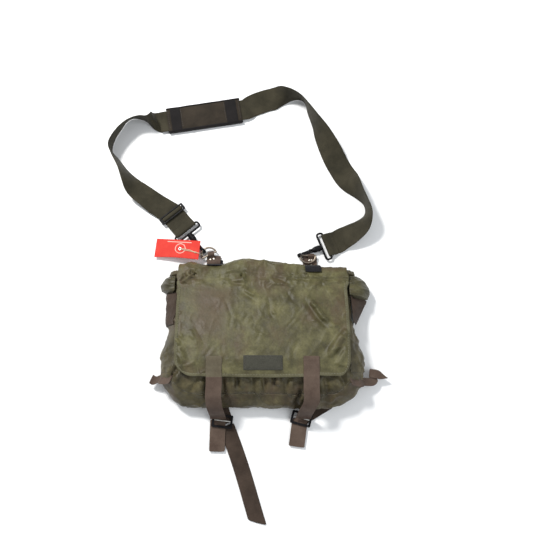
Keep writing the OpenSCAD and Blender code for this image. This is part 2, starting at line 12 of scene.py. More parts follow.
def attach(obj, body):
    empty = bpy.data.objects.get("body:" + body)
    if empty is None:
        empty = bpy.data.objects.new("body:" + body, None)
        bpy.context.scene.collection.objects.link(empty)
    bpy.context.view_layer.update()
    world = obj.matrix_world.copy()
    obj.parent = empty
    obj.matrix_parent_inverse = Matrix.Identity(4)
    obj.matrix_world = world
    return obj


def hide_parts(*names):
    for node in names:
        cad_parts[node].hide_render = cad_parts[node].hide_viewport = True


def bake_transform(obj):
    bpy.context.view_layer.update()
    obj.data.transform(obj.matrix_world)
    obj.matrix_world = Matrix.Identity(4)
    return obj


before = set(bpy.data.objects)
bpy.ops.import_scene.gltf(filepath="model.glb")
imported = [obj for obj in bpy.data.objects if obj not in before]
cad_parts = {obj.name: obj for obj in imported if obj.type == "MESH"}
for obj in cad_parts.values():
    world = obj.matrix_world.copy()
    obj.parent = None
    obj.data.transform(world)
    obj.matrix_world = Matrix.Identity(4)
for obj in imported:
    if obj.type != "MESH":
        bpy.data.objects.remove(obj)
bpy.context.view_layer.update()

MM = 0.001
SIDES = ("left", "right")
ALONG_X = Vector((1, 0, 0))
scene = bpy.context.scene

# ---- Sizes shared with the CAD source, in mm ----

BODY_HALF_W = 150
BODY_BOTTOM = -104
BODY_TOP = 118
CORNER_R = 44
WALL_LEAN = 10
SIDE_TOP_Y = 112
SIDE_LOW_Y = BODY_BOTTOM + CORNER_R
MOUTH_Y = 76
HINGE_Y = 100
FLAP_HALF_W = 141
FLAP_CENTRE_X = 1
FLAP_LOW_Y = -66
WEB_W = 25
WEB_T = 1.6
STRAP_W = 40
BAG_PROFILE = ((-106, 30), (-98, 44), (-88, 54), (-72, 60), (-40, 62), (0, 58), (60, 45), (100, 33), (118, 27))
LEFT_SWELL = ((-104, 12), (-60, 17), (-33, 21), (4, 9), (29, 13), (79, 14), (112, 4))
RIGHT_SWELL = ((-104, 12), (-60, 19), (-42, 23), (20, 5), (60, 9), (80, 12), (112, 4))
CLOSURE_X = (-74, 77)
HANGER_X = (-82, 81)
LOOP_AT = ((-131.4, 189.5), (110.5, 161.6))
HOOK_TURN = (-50, 201)
HOOK_Z = 5.5
RING_AT = ((-90, 144), (77.5, 143))
RING_R = 13
RING_Z = 7
WRAP_X = (3.5, 5.5)
WRAP_W = (11, 10)
WRAP_TURN = (14, 0)
WRAP_R = (3.2, 2.35)
WRAP_SHIFT = (1.6, 0.3)
SLIDER_U = 36.7
PAD_AT = (-104.4, 405.3)
PAD_TURN = 9.4
TAG_AT = (-105.6, 149.6, 16)
TAG_SIZE = (77, 33)
TAG_TURN = -5.8
TAG_SLOPE = 8.4
EYELET_AT = (-34, 0.6)
STRING_Y = 144
STRAP_ROUTE = (
    (-135.3, 194.1, 2.4, 0), (-142.3, 202.5, 2.4, 0), (-149.4, 210.9, 2.4, 0), (-156.5, 219.4, 2.4, 0),
    (-170.5, 228.5, 1.8, 3), (-186, 238.4, 1.4, 8), (-201.7, 250.1, 1.4, 17), (-218.9, 263.3, 1.4, 25),
    (-230.2, 278.1, 1.4, 51), (-241.8, 296.2, 1.4, 71), (-257, 319.7, 1.4, 80), (-266.1, 336.3, 1.4, 91),
    (-261.2, 356.7, 1.4, 99), (-248.7, 376.7, 1.4, 105), (-234.3, 392.3, 1.4, 115),
    (-215.3, 393.6, 1.4, 105), (-202, 388.7, 1.4, 92), (-192.9, 388.6, 1.4, 55), (-185.3, 391.9, 5, 0),
    (-178.4, 393.05, 5, 0), (-148.8, 398, 5, 0), (-126.6, 401.6, 5, 0), (-104.4, 405.3, 5, 0),
    (-82.2, 409, 5, 0), (-60, 412.6, 5, 0), (-31.4, 417.4, 5, 0), (-20, 424, 2.6, 10),
    (-7, 428.6, 1.4, 17), (7.6, 434.4, 1.4, 15), (23, 437.4, 1.4, 22), (37.9, 437.6, 1.4, 61),
    (54.9, 437.6, 1.4, 89), (71.7, 432, 1.4, 104), (82.8, 410.2, 1.4, 89), (95.5, 385.2, 1.4, 74),
    (103.8, 368, 1.4, 56), (114, 347.8, 1.4, 39), (123.6, 328.8, 1.4, 23), (133.7, 309.9, 1.4, 6),
    (144.3, 289.8, 1.4, 12), (153.3, 272, 1.4, 42), (166, 253.2, 1.4, 74), (177.9, 234.5, 1.4, 89),
    (180.5, 214.2, 1.4, 76), (169.1, 193.8, 1.4, 40), (151.8, 181.4, 1.4, 19), (138, 174.4, 2, 6),
    (129.2, 168.8, 2.4, 0), (124.5, 167, 2.4, 0), (116.1, 163.8, 2.4, 0))


def along_table(x, table):
    return float(np.interp(x, [p[0] for p in table], [p[1] for p in table]))


def front_z(y):
    return along_table(y, BAG_PROFILE)


def smoothstep(low, high, x):
    t = min(1.0, max(0.0, (x - low) / (high - low)))
    return t * t * (3 - 2 * t)


def gauss(x, centre, width):
    return math.exp(-(((x - centre) / width) ** 2))


def turned(angle):
    return Vector((math.cos(math.radians(angle)), math.sin(math.radians(angle)), 0))


# ---- Camera, light and floor ----

VIEW_ELEVATION = 75.0
VIEW_DISTANCE = 1.15
VIEW_TARGET = Vector((0.0074, 0.1257, 0.0))
LENS = 45.7
FLOOR_REACH = 6
FLOOR_Z = -0.0006


def make_camera():
    elevation = math.radians(VIEW_ELEVATION)
    back = Vector((0, -math.cos(elevation), math.sin(elevation)))
    camera = bpy.data.objects.new("camera", bpy.data.cameras.new("camera"))
    camera.data.lens = LENS
    camera.data.sensor_width = 36
    camera.location = VIEW_TARGET + back * VIEW_DISTANCE
    camera.rotation_mode = "QUATERNION"
    camera.rotation_quaternion = (-back).to_track_quat("-Z", "Y")
    scene.collection.objects.link(camera)
    scene.camera = camera


def area_light(name, place, aim, size, power, colour):
    light = bpy.data.lights.new(name, "AREA")
    light.shape = "DISK"
    light.size = size
    light.energy = power
    light.color = colour
    lamp = bpy.data.objects.new(name, light)
    lamp.location = place
    lamp.rotation_mode = "QUATERNION"
    lamp.rotation_quaternion = (Vector(aim) - Vector(place)).to_track_quat("-Z", "Y")
    scene.collection.objects.link(lamp)


def make_studio():
    scene.view_settings.view_transform = "Standard"
    world = bpy.data.worlds.new("studio")
    world.use_nodes = True
    background = world.node_tree.nodes["Background"]
    background.inputs["Color"].default_value = (0.94, 0.97, 1.0, 1)
    background.inputs["Strength"].default_value = 0.52
    scene.world = world
    area_light("key_light", (-0.8, 0.95, 1.45), (0, 0.1, 0), 0.35, 36, (1.0, 0.99, 0.97))
    area_light("fill_light", (1.2, -0.4, 1.7), (0, 0.1, 0), 1.4, 14, (0.92, 0.96, 1.0))
    floor_mesh = bpy.data.meshes.new("floor")
    corners = ((-1, -1), (1, -1), (1, 1), (-1, 1))
    points = [(x * FLOOR_REACH, y * FLOOR_REACH, FLOOR_Z) for x, y in corners]
    floor_mesh.from_pydata(points, [], [(0, 1, 2, 3)])
    floor = bpy.data.objects.new("floor", floor_mesh)
    scene.collection.objects.link(floor)
    floor_mesh.materials.append(plain_floor())


# ---- Materials ----

class Shader:
    """A Principled material with short calls for the nodes that it uses."""

    def __init__(self, name, roughness, metallic=0.0):
        self.material = bpy.data.materials.new(name)
        self.material.use_nodes = True
        self.tree = self.material.node_tree
        self.principled = self.tree.nodes["Principled BSDF"]
        self.set("Roughness", roughness)
        self.set("Metallic", metallic)
        self.coordinates = self.tree.nodes.new("ShaderNodeTexCoord")

    def set(self, socket, value):
        self.principled.inputs[socket].default_value = value

    def feed(self, socket, value):
        """Links another node's output to the socket, or sets a number, a vector or a colour."""
        if isinstance(value, bpy.types.NodeSocket):
            self.tree.links.new(value, socket)
        elif socket.type == "RGBA":
            socket.default_value = (*value, 1)
        else:
            socket.default_value = value

    def node(self, kind, **inputs):
        made = self.tree.nodes.new(kind)
        for name, value in inputs.items():
            self.feed(made.inputs[name], value)
        return made

    def noise(self, scale, detail=3.0, roughness=0.55, space="Object", stretch=None):
        where = self.coordinates.outputs[space]
        if stretch:
            where = self.node("ShaderNodeMapping", Vector=where, Scale=stretch).outputs["Vector"]
        made = self.node("ShaderNodeTexNoise", Vector=where, Scale=scale, Detail=detail, Roughness=roughness)
        return made.outputs["Fac"]

    def blob(self, place, size):
        """A soft spot in the object's space, 1 in its middle and 0 at its rim, in metres."""
        where = self.node("ShaderNodeMapping", Vector=self.coordinates.outputs["Object"],
                          Scale=tuple(1 / s for s in size), Location=tuple(-a / s for a, s in zip(place, size)))
        made = self.node("ShaderNodeTexGradient", Vector=where.outputs["Vector"])
        made.gradient_type = "SPHERICAL"
        return made.outputs["Fac"]

    def ramp(self, factor, stops):
        made = self.node("ShaderNodeValToRGB", Fac=factor)
        while len(made.color_ramp.elements) < len(stops):
            made.color_ramp.elements.new(0.5)
        for element, (place, colour) in zip(made.color_ramp.elements, stops):
            element.position = place
            element.color = (*colour, 1)
        return made.outputs["Color"]

    def grey_ramp(self, factor, stops):
        return self.ramp(factor, [(place, (value, value, value)) for place, value in stops])

    def mix(self, factor, first, second):
        made = self.tree.nodes.new("ShaderNodeMix")
        made.data_type = "RGBA"
        for number, value in ((0, factor), (6, first), (7, second)):
            self.feed(made.inputs[number], value)
        return made.outputs[2]

    def math(self, operation, first, second=0.0):
        made = self.tree.nodes.new("ShaderNodeMath")
        made.operation = operation
        self.feed(made.inputs[0], first)
        self.feed(made.inputs[1], second)
        return made.outputs[0]

    def threads(self, spacing, axis, space):
        """Rows of threads across one axis, with the spacing in metres, from 0 to 1."""
        parts = self.node("ShaderNodeSeparateXYZ", Vector=self.coordinates.outputs[space])
        angle = self.math("MULTIPLY", parts.outputs[axis], 2 * math.pi / spacing)
        return self.math("MULTIPLY_ADD", self.math("SINE", angle), 0.5)

    def bump(self, height, strength, distance, under=None):
        made = self.node("ShaderNodeBump", Height=height, Strength=strength, Distance=distance)
        if under:
            self.feed(made.inputs["Normal"], under)
        return made.outputs["Normal"]

    def finish(self, colour=None, roughness=None, normal=None):
        for socket, source in (("Base Color", colour), ("Roughness", roughness), ("Normal", normal)):
            if source is not None:
                self.feed(self.principled.inputs[socket], source)
        return self.material


def plain_floor():
    shader = Shader("studio_floor", 0.6)
    shader.set("Base Color", (0.93, 0.93, 0.93, 1))
    return shader.material


def nylon(name, dark, middle, light, brown, sheen=0.05, stains=()):
    """Coated nylon: a fine plain weave, blotched olive and brown with age, scuffed a little."""
    shader = Shader(name, 0.6)
    patches = shader.noise(30, 6, 0.66)
    tint = shader.noise(21, 6, 0.66, stretch=(1.3, 0.7, 1))
    smudge = shader.noise(75, 5, 0.7)
    grain = shader.noise(420, 2, 0.6)
    base = shader.ramp(patches, [(0.36, dark), (0.5, middle), (0.64, light)])
    base = shader.mix(shader.grey_ramp(tint, [(0.48, 0), (0.66, 0.8)]), base, brown)
    for place, size in stains:
        base = shader.mix(shader.grey_ramp(shader.blob(place, size), [(0.05, 0), (0.6, 0.75)]), base, brown)
    base = shader.mix(shader.grey_ramp(smudge, [(0.3, 0.42), (0.56, 0)]), base, dark)
    base = shader.mix(shader.grey_ramp(grain, [(0.35, 0.22), (0.65, 0)]), base, (0.02, 0.018, 0.01))
    weft = shader.threads(0.0009, "X", "Object")
    warp = shader.threads(0.0009, "Y", "Object")
    weave = shader.math("ADD", weft, warp)
    normal = shader.bump(weave, 0.22, 0.0002)
    normal = shader.bump(shader.noise(60, 5, 0.68), 0.55, 0.0016, normal)
    roughness = shader.grey_ramp(shader.noise(30, 4), [(0.3, 0.40), (0.7, 0.56)])
    shader.set("Sheen Weight", sheen)
    shader.set("Sheen Roughness", 0.4)
    shader.set("Specular IOR Level", 0.3)
    return shader.finish(base, roughness, normal)


def webbing(name, dark, light, rib=0.0011, sheen=0.05, roughness=0.8):
    """Flat woven webbing, with painted shade in the grooves between its ribs; its UV map runs across the band
    in U and along it in V, in metres.
    """
    shader = Shader(name, roughness)
    ribs = shader.threads(rib, "Y", "UV")
    cords = shader.threads(rib * 1.9, "X", "UV")
    weave = shader.math("MULTIPLY", ribs, shader.math("MULTIPLY_ADD", cords, 0.5))
    fade = shader.noise(38, 4, 0.6)
    fibre = shader.noise(900, 2, 0.6)
    base = shader.mix(shader.grey_ramp(fade, [(0.32, 0), (0.68, 1)]), dark, light)
    # painted shade: where the weave bump is low, in the grooves between the ribs, the colour is darkened
    base = shader.mix(shader.grey_ramp(weave, [(0.0, 0.45), (0.7, 0)]), base, tuple(c * 0.45 for c in dark))
    base = shader.mix(shader.grey_ramp(fibre, [(0.55, 0), (0.8, 0.3)]), base, tuple(c * 1.6 for c in light))
    normal = shader.bump(weave, 0.55, 0.0004)
    normal = shader.bump(shader.noise(45, 3), 0.3, 0.001, normal)
    shader.set("Sheen Weight", sheen)
    shader.set("Sheen Roughness", 0.5)
    shader.set("Specular IOR Level", 0.18)
    return shader.finish(base, None, normal)


def pile(name, dark, light):
    """Short looped pile, as on a blank name panel."""
    shader = Shader(name, 0.85)
    loops = shader.node("ShaderNodeTexVoronoi", Vector=shader.coordinates.outputs["Object"], Scale=1400.0)
    base = shader.mix(shader.grey_ramp(loops.outputs["Distance"], [(0.1, 1), (0.7, 0)]), dark, light)
    base = shader.mix(shader.grey_ramp(shader.noise(70, 4), [(0.4, 0), (0.8, 0.5)]), base, dark)
    normal = shader.bump(loops.outputs["Distance"], 0.8, 0.0005)
    shader.set("Sheen Weight", 0.08)
    shader.set("Specular IOR Level", 0.15)
    return shader.finish(base, None, normal)


def coated_metal(name, colour, worn, wear=0.62):
    """Black coated metal, rubbed lighter in patches."""
    shader = Shader(name, 0.45)
    rubbed = shader.grey_ramp(shader.noise(160, 5, 0.7), [(wear, 0), (wear + 0.12, 1)])
    base = shader.mix(rubbed, colour, worn)
    roughness = shader.grey_ramp(shader.noise(220, 4), [(0.3, 0.42), (0.7, 0.6)])
    normal = shader.bump(shader.noise(700, 3), 0.15, 0.0002)
    shader.set("Specular IOR Level", 0.14)
    return shader.finish(base, roughness, normal)


def bare_metal(name, colour, tarnish, roughness=0.34):
    shader = Shader(name, roughness, 1.0)
    stain = shader.grey_ramp(shader.noise(190, 5, 0.65), [(0.42, 0), (0.7, 1)])
    base = shader.mix(stain, colour, tarnish)
    scratches = shader.noise(300, 3, 0.6, stretch=(1, 12, 1))
    finish = shader.grey_ramp(scratches, [(0.3, roughness - 0.1), (0.7, roughness + 0.12)])
    return shader.finish(base, finish, shader.bump(scratches, 0.12, 0.0002))


def card(name, colour, worn):
    """Coated card of a swing tag, with faint handling marks."""
    shader = Shader(name, 0.6)
    marks = shader.grey_ramp(shader.noise(80, 5, 0.6), [(0.45, 0), (0.8, 0.5)])
    base = shader.mix(marks, colour, worn)
    normal = shader.bump(shader.noise(500, 3), 0.08, 0.0002)
    shader.set("Specular IOR Level", 0.2)
    return shader.finish(base, None, normal)


def thread_material(name, colour):
    """Twisted sewing thread."""
    shader = Shader(name, 0.65)
    shade = shader.noise(1500, 2)
    base = shader.mix(shade, tuple(c * 0.6 for c in colour), tuple(min(1, c * 1.25) for c in colour))
    shader.set("Sheen Weight", 0.3)
    return shader.finish(base, None, shader.bump(shade, 0.4, 0.0002))


OLIVE = dict(dark=(0.046, 0.040, 0.015), middle=(0.088, 0.080, 0.032), light=(0.140, 0.128, 0.055),
             brown=(0.078, 0.052, 0.028))
BODY_OLIVE = dict(dark=(0.036, 0.029, 0.012), middle=(0.076, 0.063, 0.029), light=(0.128, 0.108, 0.052),
                  brown=(0.078, 0.051, 0.030))
FLAP_STAINS = (((-0.082, 0.030, 0.055), (0.034, 0.050, 0.2)), ((-0.08, 0.06, 0.05), (0.05, 0.03, 0.2)),
               ((0.118, 0.118, 0.03), (0.05, 0.014, 0.1)))
MATERIALS = {
    "flap": nylon("flap_nylon", stains=FLAP_STAINS, **OLIVE),
    "body": nylon("body_nylon", **BODY_OLIVE),
    "ear": nylon("ear_nylon", (0.034, 0.030, 0.012), (0.068, 0.060, 0.026), (0.112, 0.102, 0.046),
                 (0.060, 0.044, 0.024)),
    "binding": webbing("binding_tape", (0.080, 0.073, 0.040), (0.150, 0.140, 0.084), rib=0.0008),
    "faded": webbing("faded_webbing", (0.098, 0.080, 0.052), (0.146, 0.128, 0.086)),
    "closure": webbing("brown_webbing", (0.074, 0.048, 0.036), (0.130, 0.092, 0.070)),
    "brown": webbing("dark_brown_webbing", (0.036, 0.024, 0.017), (0.072, 0.049, 0.036)),
    "strap": webbing("strap_webbing", (0.024, 0.021, 0.012), (0.050, 0.043, 0.026), rib=0.0013),
    "pad": webbing("pad_black", (0.006, 0.005, 0.005), (0.015, 0.012, 0.012), rib=0.0009),
    "pad_face": webbing("pad_face", (0.020, 0.015, 0.010), (0.041, 0.031, 0.021), rib=0.0012),
    "patch": pile("loop_panel", (0.040, 0.039, 0.030), (0.082, 0.079, 0.063)),
    "keeper": webbing("keeper_patch", (0.004, 0.004, 0.005), (0.013, 0.012, 0.015), rib=0.0008),
    "black": coated_metal("black_coating", (0.004, 0.0035, 0.0045), (0.016, 0.015, 0.017)),
    "steel": bare_metal("worn_steel", (0.80, 0.78, 0.74), (0.45, 0.42, 0.38)),
    "ring": bare_metal("antique_nickel", (0.30, 0.25, 0.20), (0.12, 0.095, 0.075), 0.4),
    "rivet": bare_metal("nickel_rivet", (0.62, 0.57, 0.50), (0.34, 0.30, 0.25), 0.34),
    "eyelet": bare_metal("nickel_eyelet", (0.80, 0.80, 0.84), (0.5, 0.5, 0.52)),
    "red": card("red_card", (0.56, 0.024, 0.014), (0.66, 0.062, 0.034)),
    "print": card("pale_print", (0.72, 0.42, 0.36), (0.70, 0.30, 0.24)),
    "thread": thread_material("olive_thread", (0.16, 0.15, 0.09)),
    "dark_thread": thread_material("dark_thread", (0.022, 0.018, 0.013)),
    "string": thread_material("cotton_string", (0.62, 0.53, 0.36)),
}

# ---- Mesh making ----

def mesh_piece(name, points, faces, material, uvs=None):
    """A smooth mesh object from points in mm. uvs holds one (u, v) in metres per point."""
    mesh = bpy.data.meshes.new(name)
    mesh.from_pydata([Vector(p) * MM for p in points], [], faces)
    mesh.materials.append(MATERIALS[material])
    if uvs:
        layer = mesh.uv_layers.new(name="UVMap")
        for loop in mesh.loops:
            layer.data[loop.index].uv = uvs[loop.vertex_index]
    mesh.polygons.foreach_set("use_smooth", [True] * len(mesh.polygons))
    mesh.update()
    piece = bpy.data.objects.new(name, mesh)
    scene.collection.objects.link(piece)
    return piece


def grid_faces(rows, columns, start=0, wrap=False):
    span = columns if wrap else columns - 1
    return [(start + r * columns + c, start + r * columns + (c + 1) % columns,
             start + (r + 1) * columns + (c + 1) % columns, start + (r + 1) * columns + c)
            for r in range(rows - 1) for c in range(span)]


def tube_faces(rings, sides, start=0, closed=False):
    """Faces of a tube: its last ring meets its first one when closed, or else both ends have a cap."""
    faces = grid_faces(rings, sides, start, wrap=True)
    last = start + (rings - 1) * sides
    if closed:
        pairs = [(j, (j + 1) % sides) for j in range(sides)]
        return faces + [(last + j, last + n, start + n, start + j) for j, n in pairs]
    return faces + [tuple(range(start + sides - 1, start - 1, -1)), tuple(range(last, last + sides))]


def slab_faces(rows, columns, kept=None):
    """Faces of a flat slab: its upper grid, where kept says so, the lower one under it, and the rim."""
    size = rows * columns
    upper = [f for f in grid_faces(rows, columns) if kept is None or kept(f)]
    lower = [tuple(reversed([i + size for i in f])) for f in upper]
    rim = list(range(columns)) + [r * columns + columns - 1 for r in range(1, rows)]
    rim += [(rows - 1) * columns + c for c in range(columns - 2, -1, -1)]
    rim += [r * columns for r in range(rows - 2, 0, -1)]
    return upper + lower + [(a, a + size, b + size, b) for a, b in zip(rim, rim[1:] + rim[:1])]


def applied(piece):
    """Bakes a piece's modifiers into its mesh."""
    bpy.context.view_layer.update()
    graph = bpy.context.evaluated_depsgraph_get()
    mesh = bpy.data.meshes.new_from_object(piece.evaluated_get(graph))
    piece.modifiers.clear()
    piece.data = mesh
    return piece


def refine(piece, thickness=0.0, offset=-1.0, levels=1):
    if thickness:
        solid = piece.modifiers.new("thickness", "SOLIDIFY")
        solid.thickness = thickness * MM
        solid.offset = offset
    if levels:
        smooth = piece.modifiers.new("smooth", "SUBSURF")
        smooth.levels = levels
        smooth.render_levels = levels
    return applied(piece)


def bevelled(node, material, width, segments=2):
    """Gives a CAD node its finish and rounds its edges for show; its own mesh stays as it is."""
    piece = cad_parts[node]
    piece.data.materials.clear()
    piece.data.materials.append(MATERIALS[material])
    bevel = piece.modifiers.new("rounded_edges", "BEVEL")
    bevel.width = width * MM
    bevel.segments = segments
    bevel.limit_method = "ANGLE"
    bevel.angle_limit = math.radians(40)
    bevel.harden_normals = True


def tree_of(*pieces):
    """One ray-casting tree, in mm, over several pieces."""
    points, faces = [], []
    for piece in pieces:
        start = len(points)
        points += [v.co / MM for v in piece.data.vertices]
        faces += [tuple(start + i for i in polygon.vertices) for polygon in piece.data.polygons]
    return BVHTree.FromPolygons(points, faces)


def height_on(tree, x, y, missing=None):
    hit = tree.ray_cast(Vector((x, y, 200)), Vector((0, 0, -1)))[0]
    return missing if hit is None else hit.z


def ridge(p, seed, sharpness):
    """Sharp crests that wander like the creases of crumpled nylon, from 0 to 1."""
    value = abs(noise.noise(p + Vector((0, 0, seed)))) * sharpness
    return (1 - min(1.0, value)) ** 2


def crumple(p, amount=1.0):
    """Height of the creases at p, in mm: long ones, short ones, and calmer areas between them."""
    busy = 0.4 + 0.6 * smoothstep(-0.25, 0.3, noise.noise(p * 0.014 + Vector((0, 0, 40))))
    long_ones = ridge(Vector((p.x * 0.020, p.y * 0.028, p.z * 0.02)), 3.0, 5.0)
    cross = ridge(Vector((p.x * 0.034 + p.y * 0.016, p.y * 0.038 - p.x * 0.016, p.z * 0.036)), 11.0, 5.0)
    short = ridge(p * 0.075, 21.0, 4.0)
    return amount * busy * (1.7 * long_ones + 1.5 * cross - 0.8 * short * cross + 0.6 * short)


BAND_SECTION = [(-1, 0), (-0.985, 0.75), (-0.93, 1), (-0.6, 0.9), (-0.2, 0.86), (0.2, 0.86), (0.6, 0.9),
                (0.93, 1), (0.985, 0.75), (1, 0), (0.985, -0.75), (0.93, -1), (0.4, -0.9), (-0.4, -0.9),
                (-0.93, -1), (-0.985, -0.75)]


def band_piece(name, rings, width, thickness, material, cut=0.0):
    """A flat band in mm. Each ring is its centre, the way across and the way out of its face.

    The band's far end is square, or slanted with the slope that cut gives.
    """
    points, uvs = [], []
    run, last = 0.0, len(rings) - 1
    for k, (centre, across, out) in enumerate(rings):
        before = rings[max(k - 1, 0)][0]
        run += (centre - before).length
        ahead = (rings[min(k + 1, last)][0] - before).normalized()
        slanted = across + ahead * (cut * smoothstep(0.86, 1.0, k / last))
        for a, b in BAND_SECTION:
            points.append(centre + slanted * (a * width / 2) + out * (b * thickness / 2))
            uvs.append((a * width / 2 * MM, run * MM))
    return mesh_piece(name, points, tube_faces(len(rings), len(BAND_SECTION)), material, uvs)


def strip(name, rings, width, thickness, material, *dressing, cut=0.0):
    """A refined band, with the body, slot and nodes that dress() takes."""
    return dress(refine(band_piece(name, rings, width, thickness, material, cut)), *dressing)


def path_rings(centres, across=None, upward=False):
    """Rings for a band along centres. across is one direction for all, or None for level across."""
    rings = []
    for k, centre in enumerate(centres):
        ahead = centres[min(k + 1, len(centres) - 1)] - centres[max(k - 1, 0)]
        side = across or Vector((-ahead.y, ahead.x, 0)).normalized()
        out = ahead.cross(side).normalized()
        rings.append((centre, side, -out if upward and out.z < 0 else out))
    return rings


def string_piece(name, centres, radius, *nodes):
    """A round string on the tag, along centres in mm."""
    points, sides, last = [], 8, len(centres) - 1
    for k, centre in enumerate(centres):
        tangent = (centres[min(k + 1, last)] - centres[max(k - 1, 0)]).normalized()
        side = tangent.cross(Vector((0.13, 0.21, 0.97))).normalized()
        other = tangent.cross(side)
        for j in range(sides):
            a = 2 * math.pi * j / sides
            points.append(centre + (side * math.cos(a) + other * math.sin(a)) * radius)
    piece = mesh_piece(name, points, tube_faces(len(centres), sides), "string")
    return dress(piece, "tag", "string", *nodes)


def spline_points(points, steps):
    """Catmull-Rom points through tuples or vectors, steps to each stretch."""
    p = [np.array(q, float) for q in points]
    made = []
    for k in range(len(p) - 1):
        a, b, c, d = p[max(k - 1, 0)], p[k], p[k + 1], p[min(k + 2, len(p) - 1)]
        for s in range(steps):
            f = s / steps
            made.append(0.5 * (2 * b + (c - a) * f + (2 * a - 5 * b + 4 * c - d) * f * f
                               + (3 * b - a - 3 * c + d) * f ** 3))
    made.append(p[-1])
    return made


def curve(points, steps):
    return [Vector(p) for p in spline_points(points, steps)]


def arc(radius, start, stop, step):
    """Points (x, y) of an arc about the origin, with its angles in degrees."""
    return [(radius * math.cos(math.radians(a)), radius * math.sin(math.radians(a)))
            for a in range(start, stop, step)]


STITCH_LENGTH = 2.6
STITCH_GAP = 1.4
STITCH_R = 0.32


def stitches(name, path, normals, material="thread"):
    """A row of sewing stitches: small rounded beads of thread lying on a surface."""
    points, faces = [], []
    run, sides = 0.0, 6
    profile = ((-0.5, 0.15), (-0.38, 0.8), (0.0, 1.0), (0.38, 0.8), (0.5, 0.15))
    for k in range(1, len(path)):
        run += (path[k] - path[k - 1]).length
        if run < STITCH_LENGTH + STITCH_GAP:
            continue
        run = 0.0
        tangent = (path[k] - path[k - 1]).normalized()
        up = normals[k]
        side = tangent.cross(up).normalized()
        faces += tube_faces(len(profile), sides, len(points))
        for along, size in profile:
            centre = path[k] + tangent * along * STITCH_LENGTH + up * (STITCH_R * 0.35)
            for j in range(sides):
                a = 2 * math.pi * j / sides
                points.append(centre + (side * math.cos(a) + up * math.sin(a) * 0.8) * STITCH_R * size)
    return mesh_piece(name, points, faces, material)


def seam(name, piece, path, body, slot):
    """Dark stitches dropped onto a piece from above, along (x, y) points."""
    tree = tree_of(piece)
    places, normals = [], []
    for start, end in zip(path, path[1:]):
        a, b = Vector((*start, 0)), Vector((*end, 0))
        steps = max(1, int((b - a).length / 0.8))
        for s in range(steps):
            p = a.lerp(b, s / steps)
            hit, normal, _, _ = tree.ray_cast(Vector((p.x, p.y, 200)), Vector((0, 0, -1)))
            if hit is not None:
                places.append(hit + normal * 0.1)
                normals.append(normal)
    dress(stitches(name, places, normals, "dark_thread"), body, slot)


def dress(piece, body, slot, *nodes):
    """A piece rides on its body and stands for its CAD nodes; slot is not used."""
    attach(piece, body)
    if nodes:
        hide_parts(*nodes)
    return piece


# ---- Cloth simulation ----

CLOTH_FRAMES = 26


def simulate_cloth(piece, pins, bed, growth, bending, gravity):
    """Lets a sheet grow and settle on a hidden shape, so that it buckles into real folds."""
    group = piece.vertex_groups.new(name="pins")
    for index, weight in enumerate(pins):
        if weight > 0:
            group.add([index], weight, "REPLACE")
    bed.modifiers.new("collision", "COLLISION")
    bed.collision.thickness_outer = 0.0008
    bed.collision.cloth_friction = 8
    cloth = piece.modifiers.new("cloth", "CLOTH")
    sizes = dict(quality=6, mass=0.25, tension_stiffness=9, compression_stiffness=9, shear_stiffness=5.4,
                 bending_stiffness=bending, tension_damping=8, air_damping=3, shrink_min=-growth,
                 vertex_group_mass="pins", pin_stiffness=1.0)
    for name, value in sizes.items():
        setattr(cloth.settings, name, value)
    cloth.settings.effector_weights.gravity = gravity
    cloth.collision_settings.distance_min = 0.0008
    cloth.collision_settings.use_self_collision = False
    cloth.point_cache.frame_start = 1
    cloth.point_cache.frame_end = CLOTH_FRAMES
    for step in range(1, CLOTH_FRAMES + 1):
        scene.frame_set(step)
    applied(piece)
    piece.vertex_groups.clear()
    bpy.data.objects.remove(bed)
    scene.frame_set(1)


def limit_travel(piece, rest, most):
    """Pulls back each vertex that moved further than most mm from its place before the simulation."""
    for vertex, start in zip(piece.data.vertices, rest):
        step = vertex.co - start
        if step.length > most * MM:
            vertex.co = start + step.normalized() * most * MM


# ---- Bag body ----

# stations of the back seam above the mouth and beside it, and points up each wall
ABOVE = 9
BESIDE = 35
WALL_ROWS = 15


def swell(x, y):
    return along_table(y, LEFT_SWELL if x < 0 else RIGHT_SWELL)


def corner_station(sign, angle):
    a = math.radians(angle)
    out = (math.cos(a), math.sin(a))
    return ((sign * (BODY_HALF_W - CORNER_R) + CORNER_R * out[0], SIDE_LOW_Y + CORNER_R * out[1]), out)


def side_station(sign, y):
    return ((sign * BODY_HALF_W, y), (sign, 0))


def wall_stations():
    """Points of the back seam with the direction out of the bag, from the top left round to the top right."""
    heights = [*np.linspace(SIDE_TOP_Y, MOUTH_Y, ABOVE + 1)[:-1], *np.linspace(MOUTH_Y, SIDE_LOW_Y, BESIDE)]
    low = np.linspace(CORNER_R - BODY_HALF_W, BODY_HALF_W - CORNER_R, 54)[1:]
    turns = [90 * k / 14 for k in range(1, 15)]
    return ([side_station(-1, y) for y in heights] + [corner_station(-1, 180 + turn) for turn in turns]
            + [((x, BODY_BOTTOM), (0, -1)) for x in low] + [corner_station(1, 270 + turn) for turn in turns]
            + [side_station(1, y) for y in heights[-2::-1]])


STATIONS = wall_stations()


def wall_point(station, s, lift=0.0):
    (x, y), (nx, ny) = station
    reach = swell(x, y) * math.sin(math.pi * s ** 0.75) - WALL_LEAN * s ** 3 + lift
    top = front_z(y - ny * WALL_LEAN)
    return Vector((x + nx * reach, y + ny * reach, 1.6 + (top - 1.6) * s))


